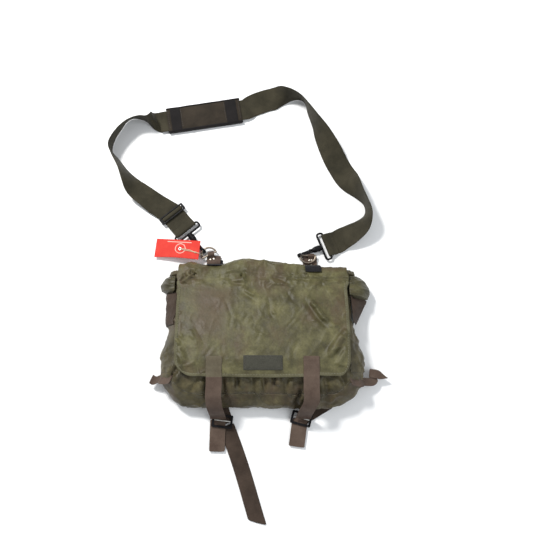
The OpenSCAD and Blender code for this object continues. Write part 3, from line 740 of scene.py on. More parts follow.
FRONT_FOLDS = (
    (((-39, -60), (-37, -84)), 4.6, 4.0, 1), (((18, -60), (20, -82)), 4.2, 3.6, 1),
    (((63, -84), (52, -106)), 3.4, 4.0, -1), (((-62, -66), (-58, -98)), 2.4, 4.2, -1),
    (((-16, -62), (-12, -96)), 2.4, 4.4, 1), (((2, -64), (4, -90)), 2.6, 3.4, -1),
    (((40, -66), (36, -94)), 2.6, 4.4, 1), (((-98, -64), (-112, -92)), 3.0, 5.0, 1),
    (((-84, -70), (-88, -100)), 2.0, 4.0, -1), (((98, -64), (104, -96)), 3.0, 5.0, -1),
    (((120, -60), (132, -84)), 2.6, 4.6, -1), (((-128, -50), (-146, -70)), 3.0, 5.0, 1),
)
# folds that run up the side walls: place along the side, depth and width
SIDE_FOLDS = ((-84, 1.6, 8), (-38, 2.2, 7), (12, 2.4, 8))


def body_crease(p):
    """Depth of the sewn-in gathers on the front and of the folds on the sides, in mm."""
    if p.z > 26 and abs(p.x) < 150:
        return 1.7 * sum(fold_height(p.x, p.y, fold) for fold in FRONT_FOLDS)
    if abs(p.x) > 140:
        slant = 0.22 * (p.z - 25) * math.copysign(1, p.x)
        return sum(depth * (0.6 * gauss(p.y + slant, y + 1.5 * width, width)
                            - 0.8 * gauss(p.y + slant, y, 0.6 * width)) for y, depth, width in SIDE_FOLDS)
    return 0.0


def body_surface():
    """The sewn shell without its back: points, faces of the walls and faces of the front welded to them."""
    points = [wall_point(station, r / (WALL_ROWS - 1)) for station in STATIONS for r in range(WALL_ROWS)]
    ring = range(WALL_ROWS - 1, len(points), WALL_ROWS)
    low_end = len(STATIONS) - ABOVE - BESIDE
    left = ring[ABOVE:ABOVE + BESIDE]
    low = ring[ABOVE + BESIDE - 1:low_end + 1]
    right = ring[low_end:len(STATIONS) - ABOVE][::-1]
    top_left, top_right, low_left, low_right = [points[i] for i in (left[0], right[0], low[0], low[-1])]
    columns, rows = len(low), BESIDE
    index = []
    for j in range(rows):
        v = j / (rows - 1)
        for i in range(columns):
            u = i / (columns - 1)
            if i == 0:
                index.append(left[j])
            elif i == columns - 1:
                index.append(right[j])
            elif j == rows - 1:
                index.append(low[i])
            else:
                mixed = (top_left.lerp(top_right, u) * (1 - v) + points[low[i]] * v
                         + points[left[j]] * (1 - u) + points[right[j]] * u
                         - top_left * (1 - u) * (1 - v) - top_right * u * (1 - v)
                         - low_left * (1 - u) * v - low_right * u * v)
                crown = 1.5 * math.sin(math.pi * u) * math.sin(math.pi * v)
                index.append(len(points))
                points.append(Vector((mixed.x, mixed.y, front_z(mixed.y) + crown)))
    front = [(index[a], index[b], index[c], index[d]) for a, b, c, d in grid_faces(rows, columns)]
    return points, grid_faces(len(STATIONS), WALL_ROWS), front


def make_body():
    """Body shell, simulated as one cloth and creased, before it is parted into front, sides and bottom."""
    points, wall_faces, front_faces = body_surface()
    shaped = []
    for p in points:
        q = p.copy()
        wave = noise.noise(p * 0.045) * 2.2 + noise.noise(p * 0.11) * 0.8
        outward = Vector((p.x * 0.4, p.y + 10, 0)).normalized()
        if p.z > 6:
            q += (outward * 0.8 + Vector((0, 0, 0.5))) * wave
        shaped.append(q)
    cloth = mesh_piece("body_cloth", shaped, wall_faces + front_faces, "body")
    rest = [v.co.copy() for v in cloth.data.vertices]
    inner = [p + (Vector((0, 25, 25)) - p).normalized() * 5 for p in points]
    filling = mesh_piece("filling", inner, wall_faces + front_faces, "body")
    wall_count = len(STATIONS) * WALL_ROWS
    pins = [float(k % WALL_ROWS == 0 or points[k].y > 100) for k in range(wall_count)]
    pins += [0.7 * float(p.y > 70) for p in points[wall_count:]]
    simulate_cloth(cloth, pins, filling, growth=0.06, bending=0.22, gravity=0.6)
    limit_travel(cloth, rest, 7)
    outward_normals(cloth, open_below=True)
    refine(cloth)
    for v in cloth.data.vertices:
        p = v.co / MM
        depth = body_crease(p) + crumple(p * 1.1 + Vector((90, 0, 0)), 1.5) - 1.2
        v.co += v.normal * depth * smoothstep(3, 14, p.z) * MM
        x, y, z = v.co / MM
        if y > FLAP_LOW_Y - 2 and z > 20 and abs(x) < FLAP_HALF_W:
            v.co.z = min(v.co.z, (front_z(y) + 0.4) * MM)
        v.co.z = max(v.co.z, 0.8 * MM)
    return cloth, 4 * len(wall_faces)


def outward_normals(piece, open_below=False):
    made = bmesh.new()
    made.from_mesh(piece.data)
    bmesh.ops.recalc_face_normals(made, faces=made.faces)
    if open_below and sum(f.normal.z * f.calc_area() for f in made.faces) < 0:
        bmesh.ops.reverse_faces(made, faces=made.faces)
    made.to_mesh(piece.data)
    made.free()


def part_of(source, name, wanted, material):
    """A new piece made of the faces of source whose numbers are wanted."""
    used = sorted({i for f in wanted for i in source.data.polygons[f].vertices})
    number = {old: new for new, old in enumerate(used)}
    points = [source.data.vertices[i].co / MM for i in used]
    faces = [tuple(number[i] for i in source.data.polygons[f].vertices) for f in wanted]
    return mesh_piece(name, points, faces, material)


def split_body(cloth, wall_faces):
    """Parts the settled shell at its seams, one piece for each CAD node."""
    per_station = 4 * (WALL_ROWS - 1)
    left_end = (ABOVE + BESIDE - 1) * per_station
    right_start = (len(STATIONS) - ABOVE - BESIDE) * per_station
    cuts = (("side_gusset_left", "side_wall_left", 0, left_end),
            ("bottom_gusset", "bottom_wall", left_end, right_start),
            ("side_gusset_right", "side_wall_right", right_start, wall_faces),
            ("front_panel", "front_cloth", wall_faces, len(cloth.data.polygons)))
    pieces = []
    for node, name, start, stop in cuts:
        piece = refine(part_of(cloth, name, range(start, stop), "body"), thickness=1.0, levels=0)
        pieces.append(dress(piece, "bag", "body_nylon", node))
    bpy.data.objects.remove(cloth)
    return pieces


def make_back():
    """Flat back panel with a soft raised rim where the walls are sewn on."""
    points = [Vector((0, 0, 1.9))]
    rings = ((0.55, 1.9), (0.96, 1.9), (1.0, 1.3), (1.002, 0.5), (0.99, 0.05), (0.5, 0.0))
    outline = [(-BODY_HALF_W, BODY_TOP), *[place for place, _ in STATIONS], (BODY_HALF_W, BODY_TOP)]
    outline += [(x, BODY_TOP) for x in np.linspace(BODY_HALF_W - 6, 6 - BODY_HALF_W, 50)]
    for share, z in rings:
        points += [Vector((x * share, 6 + (y - 6) * share, z)) for x, y in outline]
    count = len(outline)
    faces = [(0, 1 + k, 1 + (k + 1) % count) for k in range(count)]
    faces += grid_faces(len(rings), count, 1, wrap=True)
    faces.append(tuple(1 + (len(rings) - 1) * count + k for k in range(count)))
    piece = mesh_piece("back_cloth", points, faces, "body")
    outward_normals(piece)
    dress(piece, "bag", "body_nylon", "back_panel")


# ---- Flap ----

def flap_profile():
    """Points (y, z) from the back seam over the top edge and down to the flap's lower edge, 3 mm apart."""
    spine = [(118.4, 2.4), (119.5, 9), (119.6, 16), (118.4, 23), (115, 29), (109.5, 33.2), (104, 35.2)]
    flap = [(y, front_z(y) + 3.1) for y in np.linspace(99, FLAP_LOW_Y, 34)]
    line = spline_points(spine + flap, 6)
    picked, run = [line[0]], 0.0
    for before, after in zip(line, line[1:]):
        run += float(np.linalg.norm(after - before))
        if run >= 3:
            picked.append(after)
            run = 0.0
    picked[-1] = line[-1]
    return picked


TOP_EDGE = ((-141, 4), (-119, 7.5), (-106, 5.8), (-92, 2.5), (-70, 2.5), (-56, 8.5), (-36, 14), (-10, 12),
            (10, 9), (36, 6.3), (68, 0.5), (140, -0.5))
FLAP_CORNERS = ((29, 28), (17, 28))
FLAP_COLUMNS = 95
FOLDS = (
    # points of the valley, its depth and width, and the side of its higher ridge (1 is its left)
    (((-133, -3), (-122, -15)), 1.9, 2.8, -1),
    (((-122, -15), (-110, -44)), 1.8, 5.5, -1),
    (((-108, 15), (-96.5, -2), (-86.5, -22)), 1.9, 5.5, -1),
    (((-21, 33), (-30, 20)), 1.6, 3.0, 1),
    (((-34, 73), (-6, 53)), 2.0, 3.6, 1),
    (((11, 39), (20, 24)), 1.3, 3.0, 1),
    (((-76, -18), (-89, -37)), 1.0, 3.0, 1),
    (((-62, -18), (-60, -37)), 0.9, 2.6, 1),
    (((-59, -32), (-55, -55)), 1.8, 3.2, -1),
    (((-42, -39), (-34, -57)), 1.8, 3.4, -1),
    (((66, 63), (86, 30), (107, 6)), 3.6, 4.2, 1),
    (((57, 31), (37, 10)), 1.1, 2.0, 1),
    (((135, 20), (113, -3), (99, -22), (90, -35)), 3.4, 6.0, 1),
    (((128, -18), (109, -47)), 2.0, 4.2, 1),
    (((40, 72), (50, 55)), 1.4, 3.8, 1),
    (((10, 63), (15, 31)), 1.2, 3.6, 1),
    (((-135, 88), (-126, 98), (-106, 110)), 3.0, 2.4, -1),
    (((-62, 104), (-46, 88), (-22, 84)), 0.9, 4.0, 1),
    (((20, 100), (44, 84), (66, 84)), 0.8, 4.0, 1),
    (((-60, 60), (-48, 30), (-52, 4)), 1.0, 3.2, 1),
    (((60, -6), (48, -30), (50, -58)), 1.2, 3.2, -1),
    (((0, 10), (-10, -14)), 1.0, 3.0, 1),
)


def top_edge_shift(x):
    """How far the top edge of the flap bows out along the bag."""
    return sum(along_table(x + d, TOP_EDGE) for d in (-6, -3, 0, 3, 6)) / 5


def fold_height(x, y, fold):
    """One fold: a sharp valley between two soft ridges, dying out at its ends."""
    points, depth, width, side = fold
    lengths = [math.dist(a, b) for a, b in zip(points, points[1:])]
    best, off, share, run = 1e9, 0.0, 0.0, 0.0
    for (x0, y0), (x1, y1), length in zip(points, points[1:], lengths):
        dx, dy = (x1 - x0) / length, (y1 - y0) / length
        t = min(length, max(0.0, (x - x0) * dx + (y - y0) * dy))
        gap = math.hypot(x - x0 - dx * t, y - y0 - dy * t)
        if gap < best:
            best, share = gap, (run + t) / sum(lengths)
            off = math.copysign(gap, dx * (y - y0) - dy * (x - x0))
        run += length
    if best > width * 5:
        return 0.0
    ends = smoothstep(-0.05, 0.25, share) * smoothstep(1.05, 0.7, share)
    near = gauss(off, side * 1.6 * width, 1.2 * width)
    far = gauss(off, -side * 1.7 * width, 1.1 * width)
    return depth * ends * (0.75 * near + 0.35 * far - 0.75 * math.exp(-((best / width) ** 1.2) * 1.6))


def flap_outline(share, y):
    """Moves a point of the flap's square grid so that the two lower corners are rounded."""
    reach, rise = FLAP_CORNERS[share > 0]
    x = abs(share) * FLAP_HALF_W
    dx, dy = x - (FLAP_HALF_W - reach), FLAP_LOW_Y + rise - y
    if dx > 0 and dy > 0:
        u, v = dx / reach, dy / rise
        x = FLAP_HALF_W - reach + u * math.sqrt(1 - 0.5 * v * v) * reach
        y = FLAP_LOW_Y + rise - v * math.sqrt(1 - 0.5 * u * u) * rise
    return x, y


def flap_points(profile):
    points = []
    for y, z in profile:
        for share in np.linspace(-1, 1, FLAP_COLUMNS):
            x, py = flap_outline(share, float(y))
            px = FLAP_CENTRE_X + math.copysign(x - (2 if y > HINGE_Y + 3 else 0), share)
            py += top_edge_shift(px) * smoothstep(84, 112, py) * smoothstep(2, 14, z)
            wave = noise.noise(Vector((px, py, 0)) * 0.03) * 2.4 + noise.noise(Vector((px, py, 7)) * 0.08) * 0.8
            points.append(Vector((px, py, z + wave * smoothstep(10, 30, z))))
    return points


def settle_flap(piece, points, profile):
    """Lets the flap grow a little and lie down again on a bed just under it."""
    rest = [v.co.copy() for v in piece.data.vertices]
    under, pins = [], []
    for k, p in enumerate(points):
        y, z = profile[k // FLAP_COLUMNS]
        under.append(Vector((p.x * 1.1, p.y, z - 1.6)))
        pin = smoothstep(70, 96, y) if z > 20 else 1.0
        sewn = p.y < -38 and min(abs(p.x - x) for x in CLOSURE_X) < 10
        pins.append(max(pin, 0.6) if sewn else pin)
    bed = mesh_piece("bed", under, grid_faces(len(profile), FLAP_COLUMNS), "flap")
    simulate_cloth(piece, pins, bed, growth=0.05, bending=0.25, gravity=0.25)
    limit_travel(piece, rest, 6)


def crease_flap(piece):
    """Folds that cross the flap, and the fine creases of its crumpled nylon."""
    for v in piece.data.vertices:
        x, y, z = v.co / MM
        lift = 2.7 * sum(fold_height(x, y, fold) for fold in FOLDS) if z > 25 else 0.0
        lift += (crumple(v.co / MM, 1.5) - 0.5) * smoothstep(4, 24, z)
        if y < HINGE_Y:
            low = front_z(y) * MM
            v.co.z = max(v.co.z + 1.8 * MM + lift * MM, low + (1.2 + 0.25 * max(0.0, lift + 3)) * MM)
        else:
            v.co += v.normal * lift * MM * (1 if v.normal.z > 0 or v.normal.y > 0 else -1)


def make_flap():
    """Flap and top edge in one cloth, from the back seam to the rounded lower corners."""
    profile = flap_profile()
    points = flap_points(profile)
    piece = mesh_piece("flap_cloth", points, grid_faces(len(profile), FLAP_COLUMNS), "flap")
    settle_flap(piece, points, profile)
    refine(piece)
    crease_flap(piece)
    edge = edge_path(piece, len(profile))
    refine(piece, thickness=1.1, offset=0, levels=0)
    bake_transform(piece)
    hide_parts("flap_panel", "flap_spine")
    return piece, edge


def edge_path(piece, rows):
    """Points round the flap's free edge and the points one hem's width inside it, for its binding."""
    grid = [v.co / MM for v in piece.data.vertices[:rows * FLAP_COLUMNS]]
    starts = range(0, rows * FLAP_COLUMNS, FLAP_COLUMNS)
    first = next(r for r, i in enumerate(starts) if grid[i].y < 92 and grid[i].z > 30)
    last, side, inset = rows - 1, FLAP_COLUMNS - 1, 2
    places = [(r, 0) for r in range(first, rows)] + [(last, c) for c in range(1, FLAP_COLUMNS)]
    places += [(r, side) for r in range(last - 1, first - 1, -1)]
    inner = [(min(r, last - inset), min(max(c, inset), side - inset)) for r, c in places]
    return [[grid[r * FLAP_COLUMNS + c] for r, c in pair] for pair in zip(places, inner)]


def make_flap_binding(edge):
    """Tape folded over the flap's edge and sewn through."""
    section = ((-0.2, 1.3), (1.0, 1.35), (4.2, 1.15), (5.2, 0.75),
               (5.2, -0.75), (4.2, -1.15), (1.0, -1.3), (-0.2, -1.2))
    points, uvs, run = [], [], 0.0
    stitch_path, stitch_normals = [], []
    for k, (outer, inner) in enumerate(edge):
        ahead = edge[min(k + 1, len(edge) - 1)][0] - edge[max(k - 1, 0)][0]
        inward = (inner - outer).normalized()
        out = inward.cross(ahead).normalized()
        out = out if out.z > 0 else -out
        if k:
            run += (outer - edge[k - 1][0]).length
        for across, lift in section:
            points.append(outer + inward * (across - 0.7) + out * lift)
            uvs.append((across * MM, run * MM))
        stitch_path.append(outer + inward * 3.2 + out * 1.1)
        stitch_normals.append(out)
    piece = mesh_piece("flap_edge_tape", points, tube_faces(len(edge), len(section)), "binding", uvs)
    dress(refine(piece), "flap", "binding_tape", "flap_binding")
    dense, normals = [], []
    for a, b, n in zip(stitch_path, stitch_path[1:], stitch_normals):
        dense += [a.lerp(b, s / 4) for s in range(4)]
        normals += [n] * 4
    dress(stitches("flap_edge_stitches", dense, normals), "flap", "flap_nylon")


# ---- Closure straps and patch ----

OVER_EDGE = ((-96, 58), (-106, 51.5), (-114.5, 42), (-119.8, 30), (-122, 18), (-124.5, 11), (-128, 9.6))


def make_closure_strap(side, flap_tree):
    x, end_x = CLOSURE_X[side], (-70, 66)[side]
    name = SIDES[side]
    path = []
    for y in np.linspace(-34, FLAP_LOW_Y - 1, 18):
        heights = [height_on(flap_tree, x + dx, max(y, FLAP_LOW_Y + 1.5), 0) for dx in (-10, -4, 0, 4, 10)]
        path.append(Vector((x, y, max(max(heights) + 0.3, sum(heights) / 5 + 0.9))))
    low_z = path[-1].z
    free = [tuple(path[-1]), (x, -76, low_z - 1.5), (x, -86, 61)]
    free += [(x + (end_x - x) * smoothstep(-100, -128, y), y, z) for y, z in OVER_EDGE]
    path += curve(free, 4)[1:]
    around = zip([path[0], *path], path, [*path[1:], path[-1]])
    smooth = [(before + p * 2 + after) / 4 for before, p, after in around]
    for p in smooth:
        p.x += 1.2 * noise.noise(p * 0.05 + Vector((side * 30, 0, 0)))
    rings = path_rings(smooth, ALONG_X)
    rings = [(c, a, -o if o.z < 0 or (abs(o.z) < 0.3 and o.y > 0) else o) for c, a, o in rings]
    piece = refine(band_piece("closure_webbing_" + name, rings, WEB_W, WEB_T, "closure"))
    if side == 0:
        piece.data.materials.append(MATERIALS["faded"])
        for face in piece.data.polygons:
            face.material_index = int(face.center.y / MM > FLAP_LOW_Y - 1)
    dress(piece, "flap", "brown_webbing", "closure_strap_" + name)
    left, right, high, low = x - 10.5, x + 10.5, -36.5, -57
    box = [(left, high), (right, high), (right, low), (left, low), (left, high), (right, low)]
    seam("closure_box_stitch_" + name, piece, box, "flap", "brown_webbing")


def make_pull_tab(side):
    """Hemmed end of the closure webbing, below the buckle."""
    name = SIDES[side]
    start = Vector(((-70, -128, 0), (61, -127, 0))[side])
    angle, length = ((-91, 50), (-98, 44))[side]
    heading = turned(angle)
    centres = []
    for t in np.linspace(0, 1, 26):
        z = 2.9 + math.sin(math.pi * t) * (0.6 + 0.4 * side)
        centres.append(start + heading * (length * t) + Vector((0, 0, z)))
    strip("pull_tab_webbing_" + name, path_rings(centres), WEB_W, WEB_T, "closure",
          "flap", "brown_webbing", "pull_tab_" + name)
    hem = [start + heading * (length * t) + Vector((0, 0, 4.6 - 0.8 * t)) for t in np.linspace(0.83, 1, 8)]
    piece = strip("pull_tab_hem_" + name, path_rings(hem), WEB_W - 0.4, 1.0, "closure", "flap", "brown_webbing")
    row = [(start + heading * length * 0.85 + turned(angle + 90) * a)[:2] for a in (-11, 11)]
    seam("pull_tab_stitch_" + name, piece, row, "flap", "brown_webbing")


def make_patch(flap_tree):
    """Blank loop-pile panel sewn on the flap."""
    x0, x1, y0, y1 = -28.5, 32.5, -56.5, -33.5
    columns, rows, inset = 32, 14, 2.2
    points = []
    for lift, softness in ((1.5, 1), (0.2, 0)):
        for y in np.linspace(y0, y1, rows):
            for x in np.linspace(x0, x1, columns):
                border = min(x - x0, x1 - x, y - y0, y1 - y)
                sunk = softness * (0.35 * gauss(border, 2.2, 1.0) + 0.4 * (border < 0.2))
                points.append(Vector((x, y, height_on(flap_tree, x, y, 60) + lift - sunk)))
    piece = refine(mesh_piece("loop_panel", points, slab_faces(rows, columns), "patch"))
    dress(piece, "flap", "patch_panel", "name_patch")
    left, right, low, high = x0 + inset, x1 - inset, y0 + inset, y1 - inset
    loop = [(left, low), (right, low), (right, high), (left, high), (left, low)]
    seam("loop_panel_stitches", piece, loop, "flap", "patch_panel")


def make_tails():
    """The long free tail of the left strap, and the two straps that come out of the bottom seam."""
    low, heading = Vector((-9, -273, 0.95)), turned(109.4)
    centres = []
    for t in np.linspace(0, 1, 41):
        drift = 1.6 * math.sin(math.pi * t * 1.3)
        centres.append(low + heading * (144 - 156 * t) + Vector((drift, 0, 0)))
    tail = strip("closure_tail_webbing", path_rings(centres), WEB_W, WEB_T, "brown",
                 "bag", "brown_webbing", "closure_tail_left", cut=math.tan(math.radians(33)))
    anchor = [centres[0] + heading * (2 + 3.2 * k) for k in range(11)]
    strip("anchor_webbing_left", path_rings(anchor), WEB_W, WEB_T, "brown",
          "bag", "brown_webbing", "anchor_strap_left")
    anchor = [Vector((110, -101, 0.95)).lerp(Vector((60, -130, 0.95)), k / 14) for k in range(15)]
    strip("anchor_webbing_right", path_rings(anchor), 20, WEB_T, "brown",
          "bag", "brown_webbing", "anchor_strap_right")


# ---- Sides: ears, webbing and strap ends ----

def corner_or_side(sign, run):
    """Station below the straight side by run mm along the lower corner's arc."""
    if run <= 0:
        return side_station(sign, SIDE_LOW_Y - run)
    angle = math.degrees(run / CORNER_R)
    return corner_station(sign, 180 + angle if sign < 0 else 360 - angle)


def on_wall(tree, station, s, lift):
    """A point on the settled wall, lift mm off it."""
    base = wall_point(station, s)
    nx, ny = station[1]
    out = Vector((nx, ny, 0.55)).normalized()
    hit, normal, _, _ = tree.ray_cast(base + out * 25, -out)
    if hit is None:
        hit, normal = base, out
    if normal.dot(out) < 0:
        normal = -normal
    return hit + (normal + out).normalized() * lift


EAR_OUTLINE = {
    "left": ((-144, 104), (-153, 103), (-158, 101), (-164, 95), (-168, 86), (-166, 78), (-158, 74), (-146, 73)),
    "right": ((146, 103), (156, 103), (163, 101), (171, 93), (177, 84), (178, 73), (174, 64), (162, 62),
              (148, 64)),
}


def make_ear(sign):
    """Fabric gathered in folds at the end of the mouth; its rim rolls down and under."""
    name = SIDES[sign > 0]
    outline = EAR_OUTLINE[name]
    columns, rows = 70, 26
    points = []
    for v in np.linspace(0, 1, rows):
        reach = min(1.0, v / 0.76)
        under = max(0.0, (v - 0.76) / 0.24)
        for u in np.linspace(0, 1, columns):
            place = u * (len(outline) - 1)
            k = min(int(place), len(outline) - 2)
            out = Vector((*outline[k], 0)).lerp(Vector((*outline[k + 1], 0)), place - k)
            inner = Vector((sign * 142, out.y * 0.75 + 84 * 0.25, 0))
            p = inner.lerp(out, reach ** 0.9 - 0.1 * under)
            top = front_z(p.y) - 0.5
            waver = 0.5 * noise.noise(Vector((u * 3, v * 2, sign * 5)))
            gather = 1 - 2 * abs(math.sin((u + 0.1 * waver) * math.pi * 5 + 0.9 * v)) ** 0.7
            depth = (0.5 + 1.7 * reach) * (1 - 0.5 * under) * min(1, u * 9, (1 - u) * 9)
            fine = crumple(Vector((p.x * 2, p.y * 2, v * 30 + sign * 50)), 0.7) - 0.5
            p.z = top + (19 - top) * reach ** 2.4 - 11 * under + gather * depth + fine
            points.append(p)
    piece = mesh_piece("gathered_ear_" + name, points, grid_faces(rows, columns), "ear")
    dress(refine(piece, 1.0, 0), "bag", "ear_nylon", "side_ear_" + name)


def side_band(name, points, uvs, rows, columns):
    piece = mesh_piece("side_webbing_band_" + name, points, grid_faces(rows, columns), "brown", uvs)
    dress(refine(piece, 1.4, 0), "bag", "brown_webbing", "side_webbing_" + name)


def make_sides(tree):
    """Webbing sewn on both sides below the ears; the right one hangs out in a slack triangle."""
    columns, rows = 16, 20
    points, uvs = [], []
    for s in np.linspace(0.26, 0.92, rows):
        for y in np.linspace(18, 74, columns):
            points.append(on_wall(tree, side_station(-1, y), s, 1.1))
            uvs.append((y * MM, s * 0.06))
    side_band("left", points, uvs, rows, columns)
    points, uvs = [], []
    for t in np.linspace(0, 1, rows):
        inner = Vector((144, 68, 33)).lerp(Vector((147, 21, 46)), t)
        outer = Vector((173.5, 62, 16)).lerp(Vector((152, 20, 24)), t ** 0.85)
        for a in np.linspace(0, 1, columns):
            p = inner.lerp(outer, a)
            p.z += 4 * math.sin(math.pi * a) + 1.2 * noise.noise(p * 0.07)
            points.append(p)
            uvs.append((a * 0.025, t * 0.05))
    side_band("right", points, uvs, rows, columns)
    make_ear(-1)
    make_ear(1)


SIDE_STRAPS = (
    # run along the corner and height on the wall where it starts, the free end, the way across and the width
    (12, 0.9, ((-172, -68, 14), (-178.5, -64.5, 12.5)), (0.42, 0.86, 0.1), 15),
    (16, 0.92, ((174, -70, 15), (181, -67, 12.5), (184.5, -61, 12)), (-0.34, 0.92, 0.1), 14),
)


def make_side_straps(tree):
    """Short ends of the compression straps at the lower corners."""
    for side, (run, s, end, across, width) in enumerate(SIDE_STRAPS):
        name = SIDES[side]
        sewn = [on_wall(tree, corner_or_side(2 * side - 1, run - 8 * f), s - 0.5 * f, 1.3)
                for f in (0, 0.25, 0.5, 0.75, 1)]
        rings = path_rings(curve([*sewn, *end], 4), Vector(across).normalized(), upward=True)
        strip("compression_webbing_" + name, rings, width, WEB_T, "closure",
              "bag", "brown_webbing", "side_strap_" + name)
    centres = curve([(172, -56, 16.5), (182, -57, 15.5), (192, -59.5, 14), (203, -61, 12)], 5)
    across = Vector((0.12, 1, 0.05)).normalized()
    points, uvs = [], []
    for k, c in enumerate(centres):
        taper = smoothstep(0.5, 1.0, k / (len(centres) - 1))
        for a, b in BAND_SECTION:
            offset = a * 7 * (1 - 0.88 * taper) - 2.5 * taper
            points.append(c + across * offset + Vector((0, 0, b * 0.8)))
            uvs.append((0.0, 0.002 * k))
    faces = tube_faces(len(centres), len(BAND_SECTION))
    piece = refine(mesh_piece("compression_tail_right", points, faces, "closure", uvs))
    dress(piece, "bag", "brown_webbing")


# ---- Hanger tabs ----

KEEPER_PATHS = (
    ((134.2, 5.8), (130.2, 5.8), (126, 5.0), (123.8, 5.6), (122.8, 9), (122, 14), (120.8, 22.5), (117, 30)),
    ((120.8, 22.5), (116.4, 32.5), (110.6, 36.6), (106, 38)),
)
RIVETS = (((-87.5, 136.2, 5.1), (-81.7, 137.6, 5.1)), ((80, 135.2, 5.1), (83.9, 135.6, 5.1), (83, 127, 3.3)))


def make_hangers():
    """Webbing tabs that hold the D-rings, with the webbing wrapped round each ring's bar."""
    up_spine = [(122.8, 3.2), (122.2, 8), (121.6, 14), (120.6, 22)]
    for side, name in enumerate(SIDES):
        x, ring_y = HANGER_X[side], RING_AT[side][1]
        base = [(y, 2.95 + 0.15 * math.sin(y * 0.4)) for y in np.linspace(ring_y - 0.5, 125, 10)]
        base += [(121, 2.95)] if side == 0 else [(y + top_edge_shift(x) * 0.6, z) for y, z in up_spine]
        rings = path_rings(curve([(x, y, z) for y, z in base], 2), ALONG_X)
        strip("hanger_base_" + name, rings, 24, 1.0, "closure", "bag", "brown_webbing", "hanger_tab_" + name)
        radius, shift = WRAP_R[side], WRAP_SHIFT[side]
        fold = [(-5, 3.75)] + [(shift + y, RING_Z + z) for y, z in arc(radius, -90, 91, 20)]
        fold += [(-1.5, RING_Z + radius - 0.05), (-5.4, 4.75), (-9, 4.65), (-13, 4.65)]
        turn = Matrix.Rotation(math.radians(WRAP_TURN[side]), 3, "Z")
        place = Vector((*RING_AT[side], 0))
        centres = curve([place + turn @ Vector((WRAP_X[side], y, z)) for y, z in fold], 3)
        strip("hanger_wrap_" + name, path_rings(centres, turn @ ALONG_X), WRAP_W[side], 0.9, "closure",
              "bag", "brown_webbing")
        make_keeper(side, name)
        profile = ((1.7, 0), (1.8, 0.3), (1.65, 0.6), (1.25, 0.8), (1.0, 0.72), (0.7, 0.9), (0.25, 1.0))
        heads = lathe("tab_rivet_heads_" + name, profile, RIVETS[side], "rivet")
        dress(heads, "bag", "pale_rivet", "tab_rivets_" + name)


def make_keeper(side, name):
    """Dark patch over the top edge that holds the tab."""
    x = HANGER_X[side] + 3
    path = []
    for y, z in KEEPER_PATHS[side]:
        bow = top_edge_shift(x) * smoothstep(84, 112, y) * smoothstep(2, 14, z)
        path.append((x, y + bow + 0.4, z + 0.3))
    rings = path_rings(curve(path, 4), ALONG_X)
    strip("keeper_patch_" + name, rings, 26, 1.2, "keeper", "bag", "black_patch", "tab_keeper_" + name)
    if side == 0:
        lip = ((136.6, 5.1), (134.6, 6.6), (131.8, 7.3), (129.2, 7.0), (128, 6.4))
        rings = path_rings(curve([(x - 3, y, z) for y, z in lip], 3), Vector((1, 0.06, 0)).normalized())
        strip("hanger_fold_left", rings, 23, 0.8, "closure", "bag", "brown_webbing")


def lathe(name, profile, places, material, closed=False):
    """Turned pieces with upright axes, one at each place, in one mesh. A closed profile makes a ring."""
    sides = 28
    points, faces = [], []
    for place in places:
        faces += tube_faces(len(profile), sides, len(points), closed)
        for r, z in profile:
            points += [Vector(place) + turned(360 * j / sides) * r + Vector((0, 0, z)) for j in range(sides)]
    return mesh_piece(name, points, faces, material)


# ---- Shoulder strap and what is on it ----

def strap_frames():
    """Centre, across and out of the strap's face all along its route."""
    route = spline_points(STRAP_ROUTE, 6)
    frames = []
    for k, (x, y, lift, roll) in enumerate(route):
        ahead = route[min(k + 1, len(route) - 1)] - route[max(k - 1, 0)]
        d = Vector((ahead[0], ahead[1], 0)).normalized()
        r = math.radians(roll)
        across = Vector((-d.y * math.cos(r), d.x * math.cos(r), math.sin(r)))
        out = Vector((d.y * math.sin(r), -d.x * math.sin(r), math.cos(r)))
        rise = max(lift, STRAP_W / 2 * abs(math.sin(r)) + WEB_T / 2 * abs(math.cos(r)) + 0.2)
        frames.append((Vector((x, y, rise)), across, out))
    return frames


def hook_point(side, u, v, w):
    """A point of a hook's own frame: u to the hook's tip, v sideways, w up."""
    u_axis = turned(HOOK_TURN[side])
    v_axis = turned(HOOK_TURN[side] + 90)
    return Vector((*LOOP_AT[side], HOOK_Z)) + u_axis * u + v_axis * v + Vector((0, 0, w))


def make_strap_end(side):
    """Webbing turned round the loop's bar and sewn down on itself."""
    line = [(-5.8, 2.4 - HOOK_Z), *arc(2.85, -90, 91, 18), (-5, 2.0), (-11, 4.6 - HOOK_Z), (-15, 4.5 - HOOK_Z)]
    if side == 0:
        line.append((-34, 4.5 - HOOK_Z))
    centres = curve([hook_point(side, u, 0, w) for u, w in line], 3)
    rings = path_rings(centres, turned(HOOK_TURN[side] + 90))
    piece = strip("strap_turn_" + SIDES[side], rings, STRAP_W, WEB_T, "strap",
                  "bag", "strap_webbing", "strap_end_" + SIDES[side])
    if side == 0:
        for k, u in enumerate((-13.5, -16)):
            row = [hook_point(side, u, v, 0)[:2] for v in (-17, 17)]
            seam("strap_turn_stitch_%d" % k, piece, row, "bag", "strap_webbing")
    return piece


def make_strap():
    frames = strap_frames()
    strap = strip("shoulder_webbing", frames, STRAP_W, WEB_T, "strap", "bag", "strap_webbing", "shoulder_strap")
    turns = [make_strap_end(0), make_strap_end(1)]
    make_pad()
    slider = make_slider()


def pad_point(x, y, z):
    return Vector((*PAD_AT, 0)) + turned(PAD_TURN) * x + turned(PAD_TURN + 90) * y + Vector((0, 0, z))


